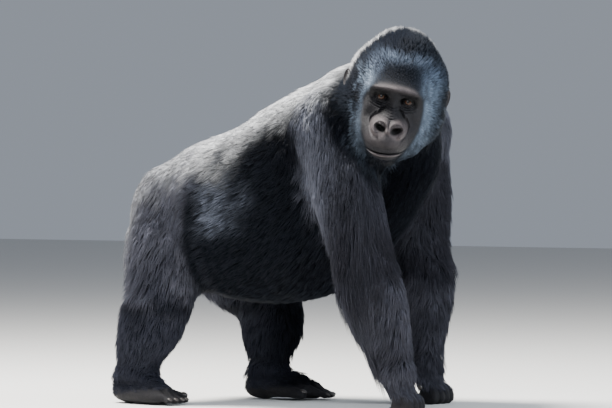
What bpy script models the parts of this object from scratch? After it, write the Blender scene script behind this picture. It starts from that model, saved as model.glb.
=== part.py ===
"""A western lowland gorilla, an adult male, at life size, standing on its knuckles and soles.

The animal faces -Y, its right side is at -X, the floor is z = 0 and the origin is in the middle of the box
around it. It is caught in a walking step, with the right arm and the left leg forward, and its head is
turned to its right. The body is modelled whole, out to the tips of the coat, and then parted with thin cuts
into the parts that a person would name.
"""

import math
from functools import partial

import bmesh
import bpy
import numpy as np
from mathutils import Matrix, Vector

# ---- driving sizes, in metres -----------------------------------------------------------------------------

GAP = 0.0006  # the thin cut between two parts
CLEAR = 0.0004  # between an eye or an ear and what holds it
REGION_MARGIN = 0.014  # how far a cutting region reaches past the part that it takes off
BODY_VOXEL = 0.012
FINE_VOXEL = 0.0042
FIRST_THINNING = 0.045  # the share of triangles that the whole mesh keeps
SECOND_THINNING = 0.165  # the share kept again, all of it taken from outside the face
FLOOR = 0.0020  # how far the soles and knuckles are pressed flat, as z before the whole is set at z = 0
FLAT_ENOUGH = math.radians(0.3)  # faces that meet flatter than this are made one
SIDES = {"right": -1, "left": 1}

# The trunk, as upright slices from the rump to the base of the neck: y, top, bottom, half width.
TRUNK = (
    (0.462, 0.570, 0.450, 0.060),
    (0.425, 0.650, 0.380, 0.155),
    (0.330, 0.726, 0.330, 0.218),
    (0.200, 0.780, 0.290, 0.262),
    (0.040, 0.862, 0.280, 0.284),
    (-0.100, 0.908, 0.315, 0.282),
    (-0.220, 0.924, 0.410, 0.245),
    (-0.320, 0.900, 0.520, 0.190),
    (-0.385, 0.840, 0.600, 0.125),
    (-0.420, 0.760, 0.660, 0.050),
)
TRUNK_SQUARENESS = 2.3
CHEST_END = -0.020  # the y of the cuts between chest, belly and rump
BELLY_END = 0.235
SHOULDER_RADII = (0.112, 0.130, 0.128)
HAUNCH_RADII = (0.105, 0.125, 0.150)

# Joint centres: x is written for the left side and mirrored for the right, as each step differs in y and z.
ARM_JOINTS = {
    "right": ((0.200, -0.232, 0.765), (0.255, -0.370, 0.380), (0.245, -0.458, 0.118)),
    "left": ((0.190, -0.250, 0.765), (0.240, -0.245, 0.392), (0.228, -0.268, 0.118)),
}
LEG_JOINTS = {
    "right": ((0.115, 0.340, 0.520), (0.155, 0.338, 0.410), (0.185, 0.338, 0.302), (0.185, 0.440, 0.080)),
    "left": ((0.115, 0.340, 0.520), (0.162, 0.310, 0.372), (0.198, 0.222, 0.270), (0.185, 0.228, 0.080)),
}
# Along each limb: share of the way, radius across, radius fore and aft.
ARM_GIRTHS = (
    (0.00, 0.094, 0.096),
    (0.24, 0.096, 0.102),
    (0.43, 0.079, 0.088),
    (0.54, 0.086, 0.098),
    (0.68, 0.084, 0.092),
    (0.86, 0.066, 0.072),
    (1.00, 0.058, 0.058),
)
LEG_GIRTHS = (
    (0.00, 0.118, 0.125),
    (0.30, 0.118, 0.122),
    (0.60, 0.097, 0.100),
    (0.70, 0.088, 0.094),
    (0.82, 0.088, 0.098),
    (0.92, 0.074, 0.084),
    (1.00, 0.062, 0.070),
)

# The head, in its own frame: origin between the ears at eye level, -Y is the way it faces.
HEAD_PLACE = (-0.150, -0.396, 0.862)
HEAD_SIZE = 0.92  # of the sizes that follow and of those in head_masses
HEAD_TURN = math.radians(-60)  # to its right
HEAD_NOD = math.radians(7)  # chin down
HEAD_TILT = math.radians(12.5)  # its left side lower
EYE_APART = 0.0400  # half the distance between the eyes
EYE_DEPTH = -0.1180  # y of the eyeballs' centres
EYE_RADIUS = 0.0155
EAR_PLACE = (0.1560, 0.006, 0.018)


def clear_scene():
    for thing in list(bpy.data.objects):
        bpy.data.objects.remove(thing, do_unlink=True)


# ---- tools ------------------------------------------------------------------------------------------------


def object_of(name, shape):
    """An object in the scene from a bmesh, made of flat triangles. The bmesh is freed."""
    bmesh.ops.recalc_face_normals(shape, faces=shape.faces)
    bmesh.ops.triangulate(shape, faces=shape.faces)
    data = bpy.data.meshes.new(name)
    shape.to_mesh(data)
    shape.free()
    thing = bpy.data.objects.new(name, data)
    bpy.context.collection.objects.link(thing)
    return thing


def applied(thing, kind, **settings):
    """Applies one modifier and keeps the result as the object's own mesh."""
    step = thing.modifiers.new(kind, kind)
    for key, value in settings.items():
        setattr(step, key, value)
    view = bpy.context.evaluated_depsgraph_get()
    made = bpy.data.meshes.new_from_object(thing.evaluated_get(view))
    thing.modifiers.clear()
    thing.data = made
    return thing


def copy_of(thing, name):
    twin = thing.copy()
    twin.data = thing.data.copy()
    twin.name = name
    bpy.context.collection.objects.link(twin)
    return twin


def discard(*things):
    for thing in things:
        bpy.data.objects.remove(thing, do_unlink=True)


def merged(name, things, voxel, smoothing, placed=None):
    """Several overlapping closed shapes made one skin by a voxel remesh, then relaxed."""
    shape = bmesh.new()
    for thing in things:
        data = thing.data.copy()
        data.transform(thing.matrix_world)
        shape.from_mesh(data)
    if placed is not None:
        shape.transform(placed)
    whole = object_of(name, shape)
    discard(*things)
    applied(whole, "REMESH", mode="VOXEL", voxel_size=voxel)
    if smoothing:
        applied(whole, "SMOOTH", factor=0.5, iterations=smoothing)
    return whole


def combined(thing, other, operation):
    """Boolean of two closed objects. The second one is used up."""
    applied(thing, "BOOLEAN", operation=operation, object=other, solver="EXACT")
    discard(other)
    return thing


def along(points, share):
    """A point on a smooth curve through the given points, at a share of the way."""
    points = [Vector(p) for p in points]
    spans = len(points) - 1
    place = min(max(share, 0.0), 1.0) * spans
    i = min(int(place), spans - 1)
    t = place - i
    before = points[i - 1] if i else points[0] * 2 - points[1]
    after = points[i + 2] if i + 2 <= spans else points[-1] * 2 - points[-2]
    a, b = points[i], points[i + 1]
    return 0.5 * (
        2 * a + (b - before) * t + (2 * before - 5 * a + 4 * b - after) * t**2 + (3 * a - before - 3 * b + after) * t**3
    )


def spline(stations, place):
    """Smoothly interpolated values at a place along rows whose first value is the place."""
    stations = sorted(stations)
    keys = [row[0] for row in stations]
    shares = np.linspace(0.0, 1.0, len(stations))
    share = float(np.interp(place, keys, shares))
    rest = [row[1:] for row in stations]
    columns = len(rest[0])
    found = []
    for c in range(columns):
        found.append(along([(row[c], 0.0, 0.0) for row in rest], share).x)
    return found


def closed_rings(name, rings):
    """A solid through rings of equal counts, with its ends closed."""
    shape = bmesh.new()
    loops = [[shape.verts.new(p) for p in ring] for ring in rings]
    count = len(rings[0])
    for lower, upper in zip(loops, loops[1:]):
        for i in range(count):
            j = (i + 1) % count
            shape.faces.new((lower[i], lower[j], upper[j], upper[i]))
    shape.faces.new(list(reversed(loops[0])))
    shape.faces.new(loops[-1])
    return object_of(name, shape)


def ring_at(centre, side, front, across, deep, squareness=2.0, sides=24):
    """Points of a rounded cross-section. Squareness 2 is an ellipse."""
    points = []
    for k in range(sides):
        angle = math.tau * k / sides
        c, s = math.cos(angle), math.sin(angle)
        u = math.copysign(abs(c) ** (2 / squareness), c) * across
        v = math.copysign(abs(s) ** (2 / squareness), s) * deep
        points.append(centre + side * u + front * v)
    return points


def limb(name, joints, girths, grow=0.0, dome=True, rings=18, squareness=2.0, sides=24):
    """A tube through joints, thick as its girths say, with rounded ends. grow makes it larger all round."""
    rows = []
    shares = [i / (rings - 1) for i in range(rings)]
    for share in shares:
        centre = along(joints, share)
        ahead = along(joints, min(share + 0.02, 1.0)) - along(joints, max(share - 0.02, 0.0))
        ahead.normalize()
        across, deep = spline(girths, share)
        rows.append((centre, ahead, across + grow, deep + grow))
    if dome:
        for place, sign in ((0, -1), (-1, 1)):
            centre, ahead, across, deep = rows[place]
            extra = []
            for step in (1, 2, 3):
                angle = step * math.pi / 7
                reach = sign * math.sin(angle) * min(across, deep)
                shrink = math.cos(angle)
                extra.append((centre + ahead * reach, ahead, across * shrink, deep * shrink))
            rows = list(reversed(extra)) + rows if place == 0 else rows + extra
    found = []
    for centre, ahead, across, deep in rows:
        side = Vector((1, 0, 0)) - ahead * ahead.x
        side.normalize()
        front = ahead.cross(side)
        found.append(ring_at(centre, side, front, across, deep, squareness, sides))
    return closed_rings(name, found)


def ball(name, centre, radii, turn=(0.0, 0.0, 0.0), segments=32, rings=20, grow=0.0):
    """An ellipsoid, turned by degrees about X, Y and Z."""
    shape = bmesh.new()
    bmesh.ops.create_uvsphere(shape, u_segments=segments, v_segments=rings, radius=1.0)
    size = Matrix.Diagonal((*[r + grow for r in radii], 1.0))
    turned = Matrix.LocRotScale(Vector(centre), None, None)
    for axis, angle in zip("XYZ", turn):
        turned = turned @ Matrix.Rotation(math.radians(angle), 4, axis)
    bmesh.ops.transform(shape, matrix=turned @ size, verts=shape.verts)
    return object_of(name, shape)


def mirrored(place, side):
    """A place written for the left side, put on the given side."""
    x, *rest = place
    return (x * side, *rest)


def press(thing, centre, radii, push):
    """Moves the vertices within an ellipsoid by push, less and less towards its edge. Pits, folds and ridges."""
    data = thing.data
    places = np.empty(len(data.vertices) * 3)
    data.vertices.foreach_get("co", places)
    places = places.reshape(-1, 3)
    away = np.sqrt((((places - centre) / radii) ** 2).sum(axis=1))
    share = np.clip(1 - away**2, 0, 1) ** 2
    places += share[:, None] * np.array(push)
    data.vertices.foreach_set("co", places.ravel())
    data.update()


def half_space(name, point, normal):
    """A large block that fills the side of a plane that the normal points to."""
    reach = 2.0
    shape = bmesh.new()
    bmesh.ops.create_cube(shape, size=2 * reach)
    turned = Vector(normal).to_track_quat("Z", "Y").to_matrix().to_4x4()
    centre = Vector(point) + Vector(normal).normalized() * reach
    bmesh.ops.transform(shape, matrix=Matrix.Translation(centre) @ turned, verts=shape.verts)
    return object_of(name, shape)


def halved(thing, point, normal, names):
    """Parts a solid at a plane into two, with a thin gap. The first name takes the side the normal points to."""
    normal = Vector(normal).normalized()
    far = copy_of(thing, names[0])
    combined(far, half_space("keep", Vector(point) + normal * GAP / 2, normal), "INTERSECT")
    combined(thing, half_space("keep", Vector(point) - normal * GAP / 2, -normal), "INTERSECT")
    thing.name = names[1]
    return largest_piece(far), largest_piece(thing)


def largest_piece(thing):
    """Drops every loose scrap but the largest."""
    shape = bmesh.new()
    shape.from_mesh(thing.data)
    left = set(shape.verts)
    groups = []
    while left:
        stack = [left.pop()]
        group = set(stack)
        while stack:
            for edge in stack.pop().link_edges:
                for vert in edge.verts:
                    if vert in left:
                        left.discard(vert)
                        group.add(vert)
                        stack.append(vert)
        groups.append(group)
    groups.sort(key=len)
    scraps = [vert for group in groups[:-1] for vert in group]
    bmesh.ops.delete(shape, geom=scraps, context="VERTS")
    shape.to_mesh(thing.data)
    shape.free()
    return thing


# ---- body -------------------------------------------------------------------------------------------------


def trunk():
    """Chest, belly and rump, as a loft of upright slices."""
    steps = 26
    first, last = TRUNK[0][0], TRUNK[-1][0]
    found = []
    for i in range(steps):
        y = first + (last - first) * i / (steps - 1)
        top, bottom, half_width = spline(TRUNK, y)
        centre = Vector((0.0, y, (top + bottom) / 2))
        deep = (top - bottom) / 2
        found.append(
            ring_at(centre, Vector((1, 0, 0)), Vector((0, 0, 1)), half_width, deep, TRUNK_SQUARENESS, 40)
        )
    return closed_rings("trunk", found)


def arm(side_name, grow=0.0):
    """Shoulder to wrist."""
    joints = [mirrored(j, SIDES[side_name]) for j in ARM_JOINTS[side_name]]
    return limb("arm", joints, ARM_GIRTHS, grow)


def leg(side_name, grow=0.0):
    """Hip to ankle."""
    joints = [mirrored(j, SIDES[side_name]) for j in LEG_JOINTS[side_name]]
    return limb("leg", joints, LEG_GIRTHS, grow)


def shoulder(side_name, grow=0.0):
    """The deltoid cap over the shoulder joint."""
    x, y, z = ARM_JOINTS[side_name][0]
    centre = mirrored((x - 0.005, y + 0.010, z - 0.002), SIDES[side_name])
    return ball("shoulder", centre, SHOULDER_RADII, grow=grow)


def haunch(side_name, grow=0.0):
    """The buttock and the hip."""
    x, y, z = LEG_JOINTS[side_name][0]
    centre = mirrored((x + 0.015, y + 0.005, z + 0.01), SIDES[side_name])
    return ball("haunch", centre, HAUNCH_RADII, grow=grow)


def neck(grow=0.0):
    """The thick neck, bent towards the right, from between the shoulders to the back of the head."""
    joints = ((0.0, -0.170, 0.760), (-0.020, -0.270, 0.800), (-0.095, -0.360, 0.835))
    girths = ((0.0, 0.180, 0.165), (0.5, 0.168, 0.158), (1.0, 0.138, 0.150))
    return limb("neck", joints, girths, grow)


# ---- hands and feet ---------------------------------------------------------------------------------------

FINGER_PITCH = 0.0235
FINGER_RADIUS = 0.0135
FINGER_SHARES = (0.94, 1.0, 1.0, 0.9)  # little finger to first finger
TOE_PITCH = 0.0205
TOE_RADIUS = 0.0122


def set_down(things, side_name, place, turn):
    """Stands pieces written for the left limb at a place on the floor, turned outwards by degrees."""
    side = SIDES[side_name]
    flip = Matrix.Diagonal((side, 1.0, 1.0, 1.0))
    stand = Matrix.Translation(mirrored((place[0], place[1], 0.0), side))
    turned = Matrix.Rotation(math.radians(turn * side), 4, "Z")
    for thing in things:
        thing.data.transform(stand @ turned @ flip)
        if side < 0:
            thing.data.flip_normals()
    return things


def hand(side_name, grow=0.0):
    """The back of the hand upright over a row of folded fingers, whose middle bones lie on the floor."""
    x, y, z = ARM_JOINTS[side_name][-1]
    palm = limb(
        "palm",
        ((0.0, 0.010, z + 0.010), (0.0, 0.004, 0.088), (0.0, -0.008, 0.050)),
        ((0.0, 0.054, 0.054), (0.5, 0.053, 0.042), (1.0, 0.050, 0.030)),
        grow,
        squareness=2.6,
    )
    found = [palm, ball("folded palm", (0.0, -0.010, 0.034), (0.052, 0.032, 0.026), grow=grow)]
    for i, share in enumerate(FINGER_SHARES):
        across = (1.5 - i) * FINGER_PITCH
        radius = FINGER_RADIUS * (0.9 + 0.1 * share)
        reach = -0.046 * share
        joints = (
            (across * 0.96, -0.004, 0.058),
            (across * 1.02, reach * 0.8, 0.037),
            (across * 1.04, reach * 1.05, 0.0125),
            (across * 1.02, reach * 0.3, 0.0105),
            (across, 0.012, 0.026),
        )
        girths = ((0.0, radius, radius), (0.6, radius * 1.05, radius * 1.05), (1.0, radius * 0.85, radius * 0.8))
        found.append(limb("finger", joints, girths, grow, sides=16, rings=16))
    thumb = limb(
        "thumb",
        ((-0.036, 0.016, 0.105), (-0.056, 0.004, 0.075), (-0.054, -0.008, 0.046)),
        ((0.0, 0.016, 0.016), (0.6, 0.0125, 0.0125), (1.0, 0.009, 0.009)),
        grow,
        sides=16,
    )
    found.append(thumb)
    return set_down(found, side_name, (x, y - 0.012), -4)


def foot(side_name, grow=0.0):
    """Heel, sole, four toes and the big toe that stands off on the inner side."""
    x, y, z = LEG_JOINTS[side_name][-1]
    heel = ball("heel", (0.0, 0.028, 0.044), (0.042, 0.056, 0.048), grow=grow)
    sole = limb(
        "sole",
        ((0.0, 0.010, z - 0.010), (0.0, -0.060, 0.050), (0.006, -0.140, 0.026)),
        ((0.0, 0.050, 0.056), (0.5, 0.047, 0.046), (1.0, 0.046, 0.026)),
        grow,
        squareness=2.4,
    )
    found = [heel, sole]
    for i in range(4):
        across = 0.006 + (1.5 - i) * TOE_PITCH
        length = 0.056 - 0.004 * abs(i - 2)
        joints = ((across * 0.95, -0.135, 0.024), (across, -0.135 - length * 0.6, 0.018))
        joints += ((across, -0.135 - length, 0.0105),)
        girths = ((0.0, TOE_RADIUS, TOE_RADIUS), (0.7, TOE_RADIUS, TOE_RADIUS), (1.0, 0.0105, 0.0095))
        found.append(limb("toe", joints, girths, grow, sides=16, rings=10))
    big = limb(
        "big toe",
        ((-0.020, -0.030, 0.032), (-0.056, -0.080, 0.026), (-0.070, -0.128, 0.0165)),
        ((0.0, 0.030, 0.028), (0.6, 0.019, 0.018), (1.0, 0.0155, 0.014)),
        grow,
        sides=18,
    )
    found.append(big)
    return set_down(found, side_name, (x, y), 12)


# ---- head -------------------------------------------------------------------------------------------------


def head_frame():
    turned = Matrix.Rotation(HEAD_TURN, 4, "Z") @ Matrix.Rotation(HEAD_NOD, 4, "X")
    turned = turned @ Matrix.Rotation(HEAD_TILT, 4, "Y")
    return Matrix.Translation(HEAD_PLACE) @ turned @ Matrix.Scale(HEAD_SIZE, 4)


def head_masses(grow=0.0):
    """The head's volumes, in its own frame."""
    found = [
        ball("dome", (0.0, 0.030, 0.030), (0.158, 0.152, 0.150), grow=grow),
        ball("crest", (0.0, 0.036, 0.090), (0.118, 0.122, 0.114), grow=grow),
        ball("forehead", (0.0, -0.074, 0.018), (0.108, 0.078, 0.056), grow=grow),
        ball("face", (0.0, -0.080, -0.045), (0.104, 0.064, 0.090), grow=grow),
        ball("snout", (0.0, -0.116, -0.088), (0.060, 0.084, 0.066), grow=grow),
        ball("muzzle", (0.0, -0.138, -0.116), (0.066, 0.086, 0.056), grow=grow),
        ball("chin", (0.0, -0.112, -0.148), (0.062, 0.090, 0.046), grow=grow),
        ball("beard", (0.0, -0.084, -0.162), (0.058, 0.078, 0.058), grow=grow),
        ball("throat", (0.0, -0.030, -0.120), (0.094, 0.112, 0.080), grow=grow),
    ]
    for side in SIDES.values():
        found += [
            ball("cheek", (side * 0.078, 0.000, -0.040), (0.086, 0.104, 0.106), grow=grow),
            ball("jaw", (side * 0.052, -0.052, -0.102), (0.068, 0.088, 0.076), grow=grow),
        ]
    return found


def face(whole):
    """Brow, eye pits, nose and mouth, raised or pressed in on the head, in its own frame."""
    for k in range(-6, 7):
        across = k / 6
        centre = (0.076 * across, -0.152 + 0.026 * across**2, 0.032 - 0.008 * across**2)
        press(whole, centre, (0.032, 0.045, 0.022), (0.0, -0.0048, 0.0004))
    for k in range(6):
        down = k / 5
        centre = (0.0, -0.140 - 0.044 * down, 0.004 - 0.066 * down)
        press(whole, centre, (0.020, 0.045, 0.024), (0.0, -0.0046, 0.0))
    for side in SIDES.values():
        press(whole, (side * 0.040, -0.140, -0.004), (0.036, 0.050, 0.023), (0.0, 0.021, 0.0))
        press(whole, (side * 0.054, -0.135, -0.056), (0.034, 0.050, 0.034), (0.0, 0.009, 0.0))
        press(whole, (side * 0.028, -0.190, -0.076), (0.036, 0.050, 0.032), (side * 0.010, -0.019, 0.0))
        press(whole, (side * 0.0215, -0.218, -0.084), (0.0200, 0.034, 0.0130), (side * 0.001, 0.022, 0.005))
    press(whole, (0.0, -0.212, -0.076), (0.007, 0.020, 0.026), (0.0, 0.005, 0.0))
    press(whole, (0.0, -0.210, -0.120), (0.056, 0.060, 0.022), (0.0, -0.005, 0.0))
    press(whole, (0.0, -0.200, -0.157), (0.050, 0.060, 0.016), (0.0, -0.006, 0.0))
    for k in range(-8, 9):
        across = k / 8
        centre = (0.054 * across, -0.210 + 0.050 * across**2, -0.142 + 0.004 * across**2)
        press(whole, centre, (0.011, 0.030, 0.0070), (0.0, 0.0052, 0.0))
    return whole


def head():
    """The head, standing in the world."""
    rough = merged("head", head_masses(), 0.0090, 12)
    whole = face(merged("head", [rough], 0.0038, 4))
    applied(whole, "SMOOTH", factor=0.5, iterations=2)
    whole.data.transform(head_frame())
    return whole


def ear(side_name):
    """A small ear: a flat oval, hollowed on its outer side inside a raised rim."""
    side = SIDES[side_name]
    whole = ball("ear_" + side_name, (0.0, 0.0, 0.0), (0.0135, 0.0225, 0.0300), segments=14, rings=8)
    press(whole, (side * 0.012, -0.002, 0.002), (0.016, 0.017, 0.022), (-side * 0.012, 0.0, 0.0))
    turned = Matrix.Rotation(math.radians(-24 * side), 4, "Z") @ Matrix.Rotation(math.radians(-12), 4, "X")
    whole.data.transform(head_frame() @ Matrix.Translation(mirrored(EAR_PLACE, side)) @ turned)
    return whole


def eye(side_name):
    centre = (SIDES[side_name] * EYE_APART, EYE_DEPTH, 0.0)
    whole = ball("eye_" + side_name, centre, (EYE_RADIUS,) * 3, turn=(90, 0, 0), segments=12, rings=7)
    whole.data.transform(head_frame())
    return whole


# ---- parting ----------------------------------------------------------------------------------------------


def thickened(thing, name, amount):
    """A copy whose faces lie a little outside those of the original."""
    return applied(copy_of(thing, name), "DISPLACE", strength=amount, mid_level=0.0)


def parted(whole, name, region):
    """Takes the part inside a closed region off the whole, leaving a thin gap. Returns the part.

    region(grow) makes the region, larger all round by grow.
    """
    piece = copy_of(whole, name)
    combined(whole, region(GAP), "DIFFERENCE")
    combined(piece, region(0.0), "INTERSECT")
    largest_piece(whole)
    return largest_piece(piece)


def head_region(grow):
    """The head with a margin, ending at a slanted plane at the back of the throat."""
    whole = merged("head region", head_masses(REGION_MARGIN), 0.018, 2)
    applied(whole, "DECIMATE", ratio=0.05)
    combined(whole, half_space("keep", (0.0, 0.100, -0.060), (0.0, -0.75, 0.66)), "INTERSECT")
    whole.data.transform(head_frame())
    return applied(whole, "DISPLACE", strength=grow, mid_level=0.0)


def neck_region(grow):
    """What lies between the head and the shoulders."""
    centre = (-0.075, -0.330, 0.840)
    return ball("neck region", centre, (0.150, 0.105, 0.165), turn=(0, 0, -25), segments=16, rings=8, grow=grow)


def limb_region(grow, side_name, joints, girths, cap_radii):
    """A limb with a margin and a wide cap that reaches out past the side of the body."""
    side = SIDES[side_name]
    reach = 0.050
    x, y, z = joints[0]
    more = REGION_MARGIN + grow
    wide = (cap_radii[0] + reach, cap_radii[1], cap_radii[2])
    cap = ball("cap", mirrored((x + reach, y, z), side), wide, segments=16, rings=8, grow=more)
    tube = limb("tube", [mirrored(j, side) for j in joints], girths, more + 0.010, rings=7, sides=10)
    beyond = Vector(mirrored(joints[-1], side))
    end = ball("end", beyond + Vector((0, -0.03, -0.03)), (0.12, 0.30, 0.12), segments=10, rings=6, grow=grow)
    combined(cap, tube, "UNION")
    return combined(cap, end, "UNION")


FLESH = (0.035, 0.037, 0.042)
COLOURS = {"eye": (0.09, 0.035, 0.012), "ear": (0.05, 0.045, 0.045), "chest": (0.03, 0.032, 0.038)}
COLOURS.update({"belly": (0.03, 0.03, 0.035), "rump": (0.22, 0.22, 0.22)})
ROUGHNESS = {"eye": 0.08}


def painted(thing):
    kind = thing.name.split("_")[0]
    material = bpy.data.materials.new(thing.name)
    material.use_nodes = True
    surface = material.node_tree.nodes["Principled BSDF"]
    surface.inputs["Base Color"].default_value = (*COLOURS.get(kind, FLESH), 1.0)
    surface.inputs["Roughness"].default_value = ROUGHNESS.get(kind, 0.75)
    surface.inputs["Metallic"].default_value = 0.0
    thing.data.materials.clear()
    thing.data.materials.append(material)
    thing.data.shade_smooth()


def whole_body():
    """Everything but the eyes and ears as one skin."""
    pieces = [trunk(), neck(), ball("nape", (-0.050, -0.225, 0.850), (0.130, 0.140, 0.105))]
    for name, side in SIDES.items():
        pieces += [arm(name), leg(name), shoulder(name), haunch(name)]
        slope = mirrored((0.100, -0.215, 0.815), side)
        pieces.append(ball("slope", slope, (0.135, 0.130, 0.090), turn=(0, 20 * side, 0)))
    fine = [merged("body", pieces, BODY_VOXEL, 22), head()]
    for name in SIDES:
        fine += [*hand(name), *foot(name)]
    return merged("whole", fine, FINE_VOXEL, 3)


def middle(things):
    """The centre of the box around all of them."""
    points = [vert.co for thing in things for vert in thing.data.vertices]
    low = Vector([min(p[i] for p in points) for i in range(3)])
    high = Vector([max(p[i] for p in points) for i in range(3)])
    return (low + high) / 2


def thinned(whole):
    """Fewer triangles, with more of them left on the face, and small flats to stand on."""
    applied(whole, "DECIMATE", ratio=FIRST_THINNING)
    plain = whole.vertex_groups.new(name="plain")
    frame = head_frame().inverted()
    for vert in whole.data.vertices:
        spot = frame @ vert.co
        on_face = spot.y < -0.06 and abs(spot.x) < 0.10 and -0.18 < spot.z < 0.07
        plain.add([vert.index], 0.0 if on_face else 1.0, "REPLACE")
    applied(whole, "DECIMATE", ratio=SECOND_THINNING, vertex_group="plain", vertex_group_factor=1.0)
    return combined(whole, half_space("above the floor", (0, 0, FLOOR), (0, 0, 1)), "INTERSECT")


def jointed(thing, joints, side_name, names):
    """Parts a limb across its two lower joints. The names run from the body outwards."""
    joints = [Vector(mirrored(j, SIDES[side_name])) for j in joints]
    upper, middle, end = (f"{name}_{side_name}" for name in names)
    lower, _ = halved(thing, joints[-2], joints[-1] - joints[-3], ("lower", upper))
    halved(lower, joints[-1], Vector((0, 0, -1)), (end, middle))


def main():
    clear_scene()
    whole = thinned(whole_body())
    head_part = parted(whole, "head", head_region)
    parted(whole, "neck", neck_region)
    for name in SIDES:
        arm_room = partial(
            limb_region, side_name=name, joints=ARM_JOINTS[name], girths=ARM_GIRTHS, cap_radii=SHOULDER_RADII
        )
        jointed(parted(whole, "arm", arm_room), ARM_JOINTS[name], name, ("upper_arm", "forearm", "hand"))
        leg_room = partial(
            limb_region, side_name=name, joints=LEG_JOINTS[name], girths=LEG_GIRTHS, cap_radii=HAUNCH_RADII
        )
        jointed(parted(whole, "leg", leg_room), LEG_JOINTS[name], name, ("thigh", "shin", "foot"))
    chest, back = halved(whole, (0, CHEST_END, 0), (0, -1, 0), ("chest", "back"))
    halved(back, (0, BELLY_END, 0), (0, -1, 0), ("belly", "rump"))
    for name in SIDES:
        combined(head_part, thickened(eye(name), "socket", CLEAR), "DIFFERENCE")
        combined(ear(name), thickened(head_part, "side of the head", CLEAR), "DIFFERENCE")
    centre = middle(bpy.data.objects)
    for thing in bpy.data.objects:
        thing.data.transform(Matrix.Translation((-centre.x, -centre.y, -FLOOR)))
        applied(thing, "DECIMATE", decimate_type="DISSOLVE", angle_limit=FLAT_ENOUGH)
        painted(thing)


main()
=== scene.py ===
# %% [markdown]
# # A gorilla, as a life-size still model
#
# The animal is an adult male western lowland gorilla on its knuckles and soles. Its body is one skin with a
# coat of tufts over it, and the eyes, ears and nails are pieces of their own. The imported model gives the
# frame: each of its solids reaches out to the tips of the coat, so the skin made here lies inside them.

# %% Load the frame
import math

import bmesh
import bpy
import numpy as np
from mathutils import Matrix, Vector, noise
from mathutils.bvhtree import BVHTree
from mathutils.kdtree import KDTree


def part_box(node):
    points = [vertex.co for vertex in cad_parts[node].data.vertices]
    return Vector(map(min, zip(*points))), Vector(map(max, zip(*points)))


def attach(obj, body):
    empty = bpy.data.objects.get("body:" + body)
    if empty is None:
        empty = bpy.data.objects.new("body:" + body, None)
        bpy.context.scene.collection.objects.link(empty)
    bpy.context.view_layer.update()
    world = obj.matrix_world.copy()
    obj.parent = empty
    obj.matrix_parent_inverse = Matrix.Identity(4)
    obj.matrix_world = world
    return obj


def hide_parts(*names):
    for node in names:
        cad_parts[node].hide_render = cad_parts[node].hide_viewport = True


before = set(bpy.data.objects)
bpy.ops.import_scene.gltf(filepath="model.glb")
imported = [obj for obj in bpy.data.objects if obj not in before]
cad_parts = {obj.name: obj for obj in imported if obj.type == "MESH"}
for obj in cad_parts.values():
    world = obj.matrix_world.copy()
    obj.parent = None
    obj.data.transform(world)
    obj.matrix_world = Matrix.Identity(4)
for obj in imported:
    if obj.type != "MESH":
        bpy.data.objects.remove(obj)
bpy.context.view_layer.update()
SIDES = {"right": -1, "left": 1}
chance = np.random.default_rng(7)

# %% [markdown]
# ## The camera, the floor and the light
#
# The camera stands low and far off, in front of the animal's right shoulder, with a long lens, so near and
# far limbs keep almost the same size. Large soft lamps light the scene: a strong one behind and above
# the back picks out the pale hair there, and a wide one from the camera's side fills the dark face.

# %% Camera, floor and lamps
VIEW_TURN = math.radians(-58)
VIEW_RISE = math.radians(1.0)
VIEW_DISTANCE = 14.0
VIEW_WIDTH = 1.70
AIM_ACROSS = 0.0128
AIM_UP = 0.5570
LAMPS = (
    ("back lamp", (-0.7, 1.5, 4.6), 1.6, 1150, (1.0, 0.98, 0.94)),
    ("front lamp", (-4.2, -2.0, 3.0), 2.6, 190, (0.88, 0.94, 1.0)),
    ("side lamp", (1.0, -4.4, 2.4), 2.4, 260, (0.84, 0.92, 1.0)),
)
LAMPS_AIM = Vector((0, 0, 0.55))
SKY = (0.74, 0.82, 0.95, 1)
SKY_STRENGTH = 0.38
FLOOR_SIZE = 30
FLOOR_LEVEL = -0.0005
FLOOR_COLOUR = (0.62, 0.61, 0.59, 1)
FLOOR_ROUGHNESS = 0.9



def put_in_scene(name, data):
    """A new object in the scene, which holds the data."""
    thing = bpy.data.objects.new(name, data)
    bpy.context.scene.collection.objects.link(thing)
    return thing


on_floor = math.cos(VIEW_RISE)
outwards = Vector((math.sin(VIEW_TURN) * on_floor, -math.cos(VIEW_TURN) * on_floor, math.sin(VIEW_RISE)))
rightwards = Vector((math.cos(VIEW_TURN), math.sin(VIEW_TURN), 0.0))
upwards = outwards.cross(rightwards)

camera = put_in_scene("camera", bpy.data.cameras.new("camera"))
camera.location = rightwards * AIM_ACROSS + upwards * AIM_UP + outwards * VIEW_DISTANCE
camera.rotation_euler = Matrix((rightwards, upwards, outwards)).transposed().to_euler()
camera.data.sensor_width = 36
camera.data.lens = 36 * VIEW_DISTANCE / VIEW_WIDTH
bpy.context.scene.camera = camera


def lamp(name, place, size, power, colour):
    """A square soft lamp that faces the middle of the animal."""
    light = bpy.data.lights.new(name, "AREA")
    light.size = size
    light.energy = power
    light.color = colour
    holder = put_in_scene(name, light)
    holder.location = place
    holder.rotation_euler = (Vector(place) - LAMPS_AIM).to_track_quat("Z", "Y").to_euler()


for row in LAMPS:
    lamp(*row)

world = bpy.data.worlds.new("room")
world.use_nodes = True
sky = world.node_tree.nodes["Background"]
sky.inputs["Color"].default_value = SKY
sky.inputs["Strength"].default_value = SKY_STRENGTH
bpy.context.scene.world = world

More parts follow.
